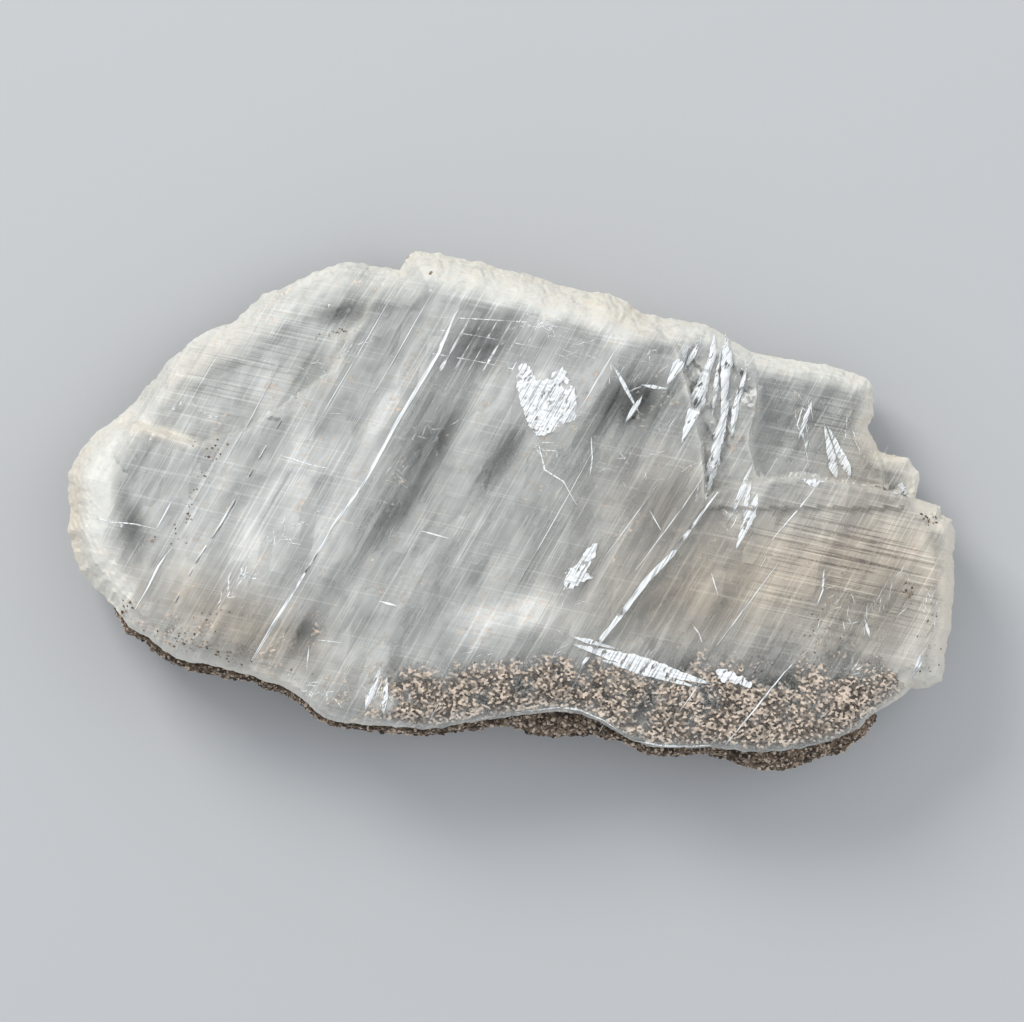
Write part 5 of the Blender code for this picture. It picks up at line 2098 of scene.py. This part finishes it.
@dataclass
class CleavageHairs:
    """The fine straight lines that cleavage leaves in the crystal.

    Args:
        shape: the crystal they lie in.
        per_mm2: how many there are on a square millimetre.
        longest: the longest hair.
        thickness: a hair's thickness.
        deepest: how far below the surface they lie at most.
        angle: their direction, in degrees from +X.
        seed: chooses one of many scatterings.
    """

    shape: CrystalShape
    per_mm2: float = 0.17
    longest: float = 10.0
    thickness: float = 0.055
    deepest: float = 3.0
    angle: float = CLEAVAGE
    seed: int = 3

    def build(self, name: str) -> bpy.types.Object:
        """Scatters the hairs over the plates."""
        outline = [tuple(p) for p in self.shape.outline]
        points = self.shape.inset(lattice(outline, 2.0), 1.0)
        distances, _ = self.shape.nearest(points)
        flat, faces = triangles_over([tuple(p) for p in self._hull(points)], [], points)
        carrier_mesh = Solid()
        carrier_mesh.add(np.column_stack([flat, self.shape.top(flat)]), faces)
        material = PearlyWhite(cover=0.6, tears=0.3).material("hair_white")
        carrier = carrier_mesh.finished("hair_carrier", material)
        distances, _ = self.shape.nearest(flat)
        set_attribute(carrier, "room", distances * MM)
        bands = 0.35 + 1.6 * streaks(flat, CLEAVAGE, 40.0, 4.0, 91.0) + 0.8 * wobble(flat, 9.0, 93.0)
        set_attribute(carrier, "bands", np.clip(bands, 0, 1.6))
        kit = NodeKit(name)
        longest = kit.size("Longest hair", self.longest * MM)
        thickness = kit.size("Thickness", self.thickness * MM)
        deepest = kit.size("Greatest depth", self.deepest * MM)
        angle = kit.size("Direction", math.radians(self.angle))
        points = kit.scattered(self.per_mm2, kit.read("bands"), "Hairs", self.seed)
        room = kit.read("room")
        length = (kit.random(0.08, 1.0, 11) ** 2.0 * longest).least(room * 1.5)
        sunk = kit.shifted(points, kit.random(0.0, -1.0, 13) * deepest)
        bar = kit.node("GeometryNodeMeshCube", {}, {"Size": (1.0, 1.0, 1.0)})
        turned = kit.vector(
            kit.random(-0.6, 0.6, 17), kit.random(-0.04, 0.04, 18), angle + kit.random(-0.05, 0.05, 19)
        )
        sized = kit.vector(length, thickness * kit.random(0.5, 1.6, 23), thickness)
        hairs = kit.placed(sunk, bar, turned, sized)
        kit.ends(hairs, material)
        made = kit.made_on(carrier, name)
        bpy.data.objects.remove(carrier)
        return made

    @staticmethod
    def _hull(points: np.ndarray) -> list[Point]:
        """The convex outline of the points, clockwise."""
        ordered = sorted({(round(x, 4), round(y, 4)) for x, y in points})

        def half(line: list[Point]) -> list[Point]:
            """One side of the hull."""
            side: list[Point] = []
            for p in line:
                while len(side) > 1 and (
                    (side[-1][0] - side[-2][0]) * (p[1] - side[-2][1])
                    - (side[-1][1] - side[-2][1]) * (p[0] - side[-2][0])
                ) >= 0:
                    side.pop()
                side.append(p)
            return side[:-1]

        return half(ordered) + half(ordered[::-1])


class Softness(Enum):
    """How large the studio's lamps are."""

    KEY = 0.5
    FILL = 0.9


@dataclass
class Studio:
    """Floor, light and camera.

    Args:
        distance: height of the camera above the slab's plates.
        shown_width: width of what the picture shows at the slab's outline, in millimetres.
        aim: the point under the camera.
    """

    distance: float = 0.75
    shown_width: float = 158.7
    outline_height: float = 14.0
    aim: Point = (0.31, 0.08)
    floor_colour: Colour = (0.47, 0.48, 0.49)

    def floor(self) -> bpy.types.Object:
        """A plain pale floor."""
        s = Shader("pale_floor")
        faint = s.noise(s.stretched(0.0, (40.0, 40.0, 40.0)), 2.0)
        base = s.colour(faint * 0.1, self.floor_colour, (0.42, 0.42, 0.42))
        material = s.done(s.principled(Base_Color=base, Roughness=0.7))
        half, drop = 4.0, -0.0002
        mesh = bpy.data.meshes.new("floor")
        corners = [(-half, -half, drop), (half, -half, drop), (half, half, drop), (-half, half, drop)]
        mesh.from_pydata(corners, [], [(0, 1, 2, 3)])
        mesh.materials.append(material)
        floor = bpy.data.objects.new("floor", mesh)
        bpy.context.scene.collection.objects.link(floor)
        return floor

    def lamp(self, name: str, place: Colour, watts: float, size: Softness, colour: Colour) -> None:
        """A square soft lamp that shines at the slab.

        Args:
            name: the lamp's name.
            place: where it hangs.
            watts: its power.
            size: how large it is.
            colour: the colour of its light.
        """
        light = bpy.data.lights.new(name, "AREA")
        light.energy, light.size, light.color = watts, size.value, colour
        lamp = bpy.data.objects.new(name, light)
        lamp.location = place
        lamp.rotation_euler = (Vector((0, 0, 0)) - Vector(place)).to_track_quat("-Z", "Y").to_euler()
        bpy.context.scene.collection.objects.link(lamp)

    def camera(self) -> None:
        """The camera straight above the slab, framed as wide as shown_width."""
        data = bpy.data.cameras.new("camera")
        height = self.distance + self.outline_height * MM
        data.sensor_width = 36.0
        data.lens = data.sensor_width * self.distance / (self.shown_width * MM)
        data.clip_start, data.clip_end = 0.01, 20.0
        camera = bpy.data.objects.new("camera", data)
        camera.location = (self.aim[0] * MM, self.aim[1] * MM, height)
        bpy.context.scene.collection.objects.link(camera)
        bpy.context.scene.camera = camera

    def build(self) -> bpy.types.Object:
        """Sets up the studio and returns its floor."""
        scene = bpy.context.scene
        world = bpy.data.worlds.new("studio")
        world.use_nodes = True
        background = world.node_tree.nodes["Background"]
        background.inputs["Color"].default_value = (0.92, 0.95, 1.0, 1.0)
        background.inputs["Strength"].default_value = 0.8
        scene.world = world
        scene.view_settings.view_transform = "Standard"
        self.lamp("key", (-0.55, 0.75, 0.8), 8.5, Softness.KEY, (1.0, 0.98, 0.95))
        self.lamp("fill", (0.8, 0.2, 0.9), 2.5, Softness.FILL, (0.95, 0.98, 1.0))
        self.camera()
        return self.floor()


def mount(piece: bpy.types.Object, slot: str, *replaced: str) -> None:
    """Lets a piece ride on the part's one body.

    Args:
        piece: the finished piece.
        slot: not used.
        replaced: the solids that it stands for.
    """
    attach(piece, "root")
    if replaced:
        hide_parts(*replaced)
    log.info("%s: %d faces", piece.name, len(piece.data.polygons))


def main() -> None:
    """Builds the studio and the slab's pieces in order."""
    logging.basicConfig(level=logging.INFO, format="%(name)s %(message)s")
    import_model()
    Studio().build()
    scene = bpy.context.scene
    scene.cycles.transparent_max_bounces = 10
    scene.cycles.transmission_bounces = 5
    scene.cycles.max_bounces = 6
    scene.cycles.diffuse_bounces = 2
    scene.cycles.glossy_bounces = 2
    shape = CrystalShape()
    mount(ClearSlab(shape).build(), "selenite", "selenite")
    mount(Veils(shape).build(), "selenite")
    mount(Cracks(shape).build(), "selenite")
    mount(Flakes(shape).build(), "selenite")
    mount(Tangles(shape).build(), "selenite")
    mount(CleavageHairs(shape).build("cleavage_hairs"), "selenite")
    crust = GritCrust(shape).build()
    grains = SandGrains().build(crust)
    mount(DirtSpecks(shape).build(), "grit")
    mount(PressedGrit(shape).build(), "grit")
    mount(crust, "grit", "grit_crust")
    mount(grains, "grit")


if __name__ == "__main__":
    main()
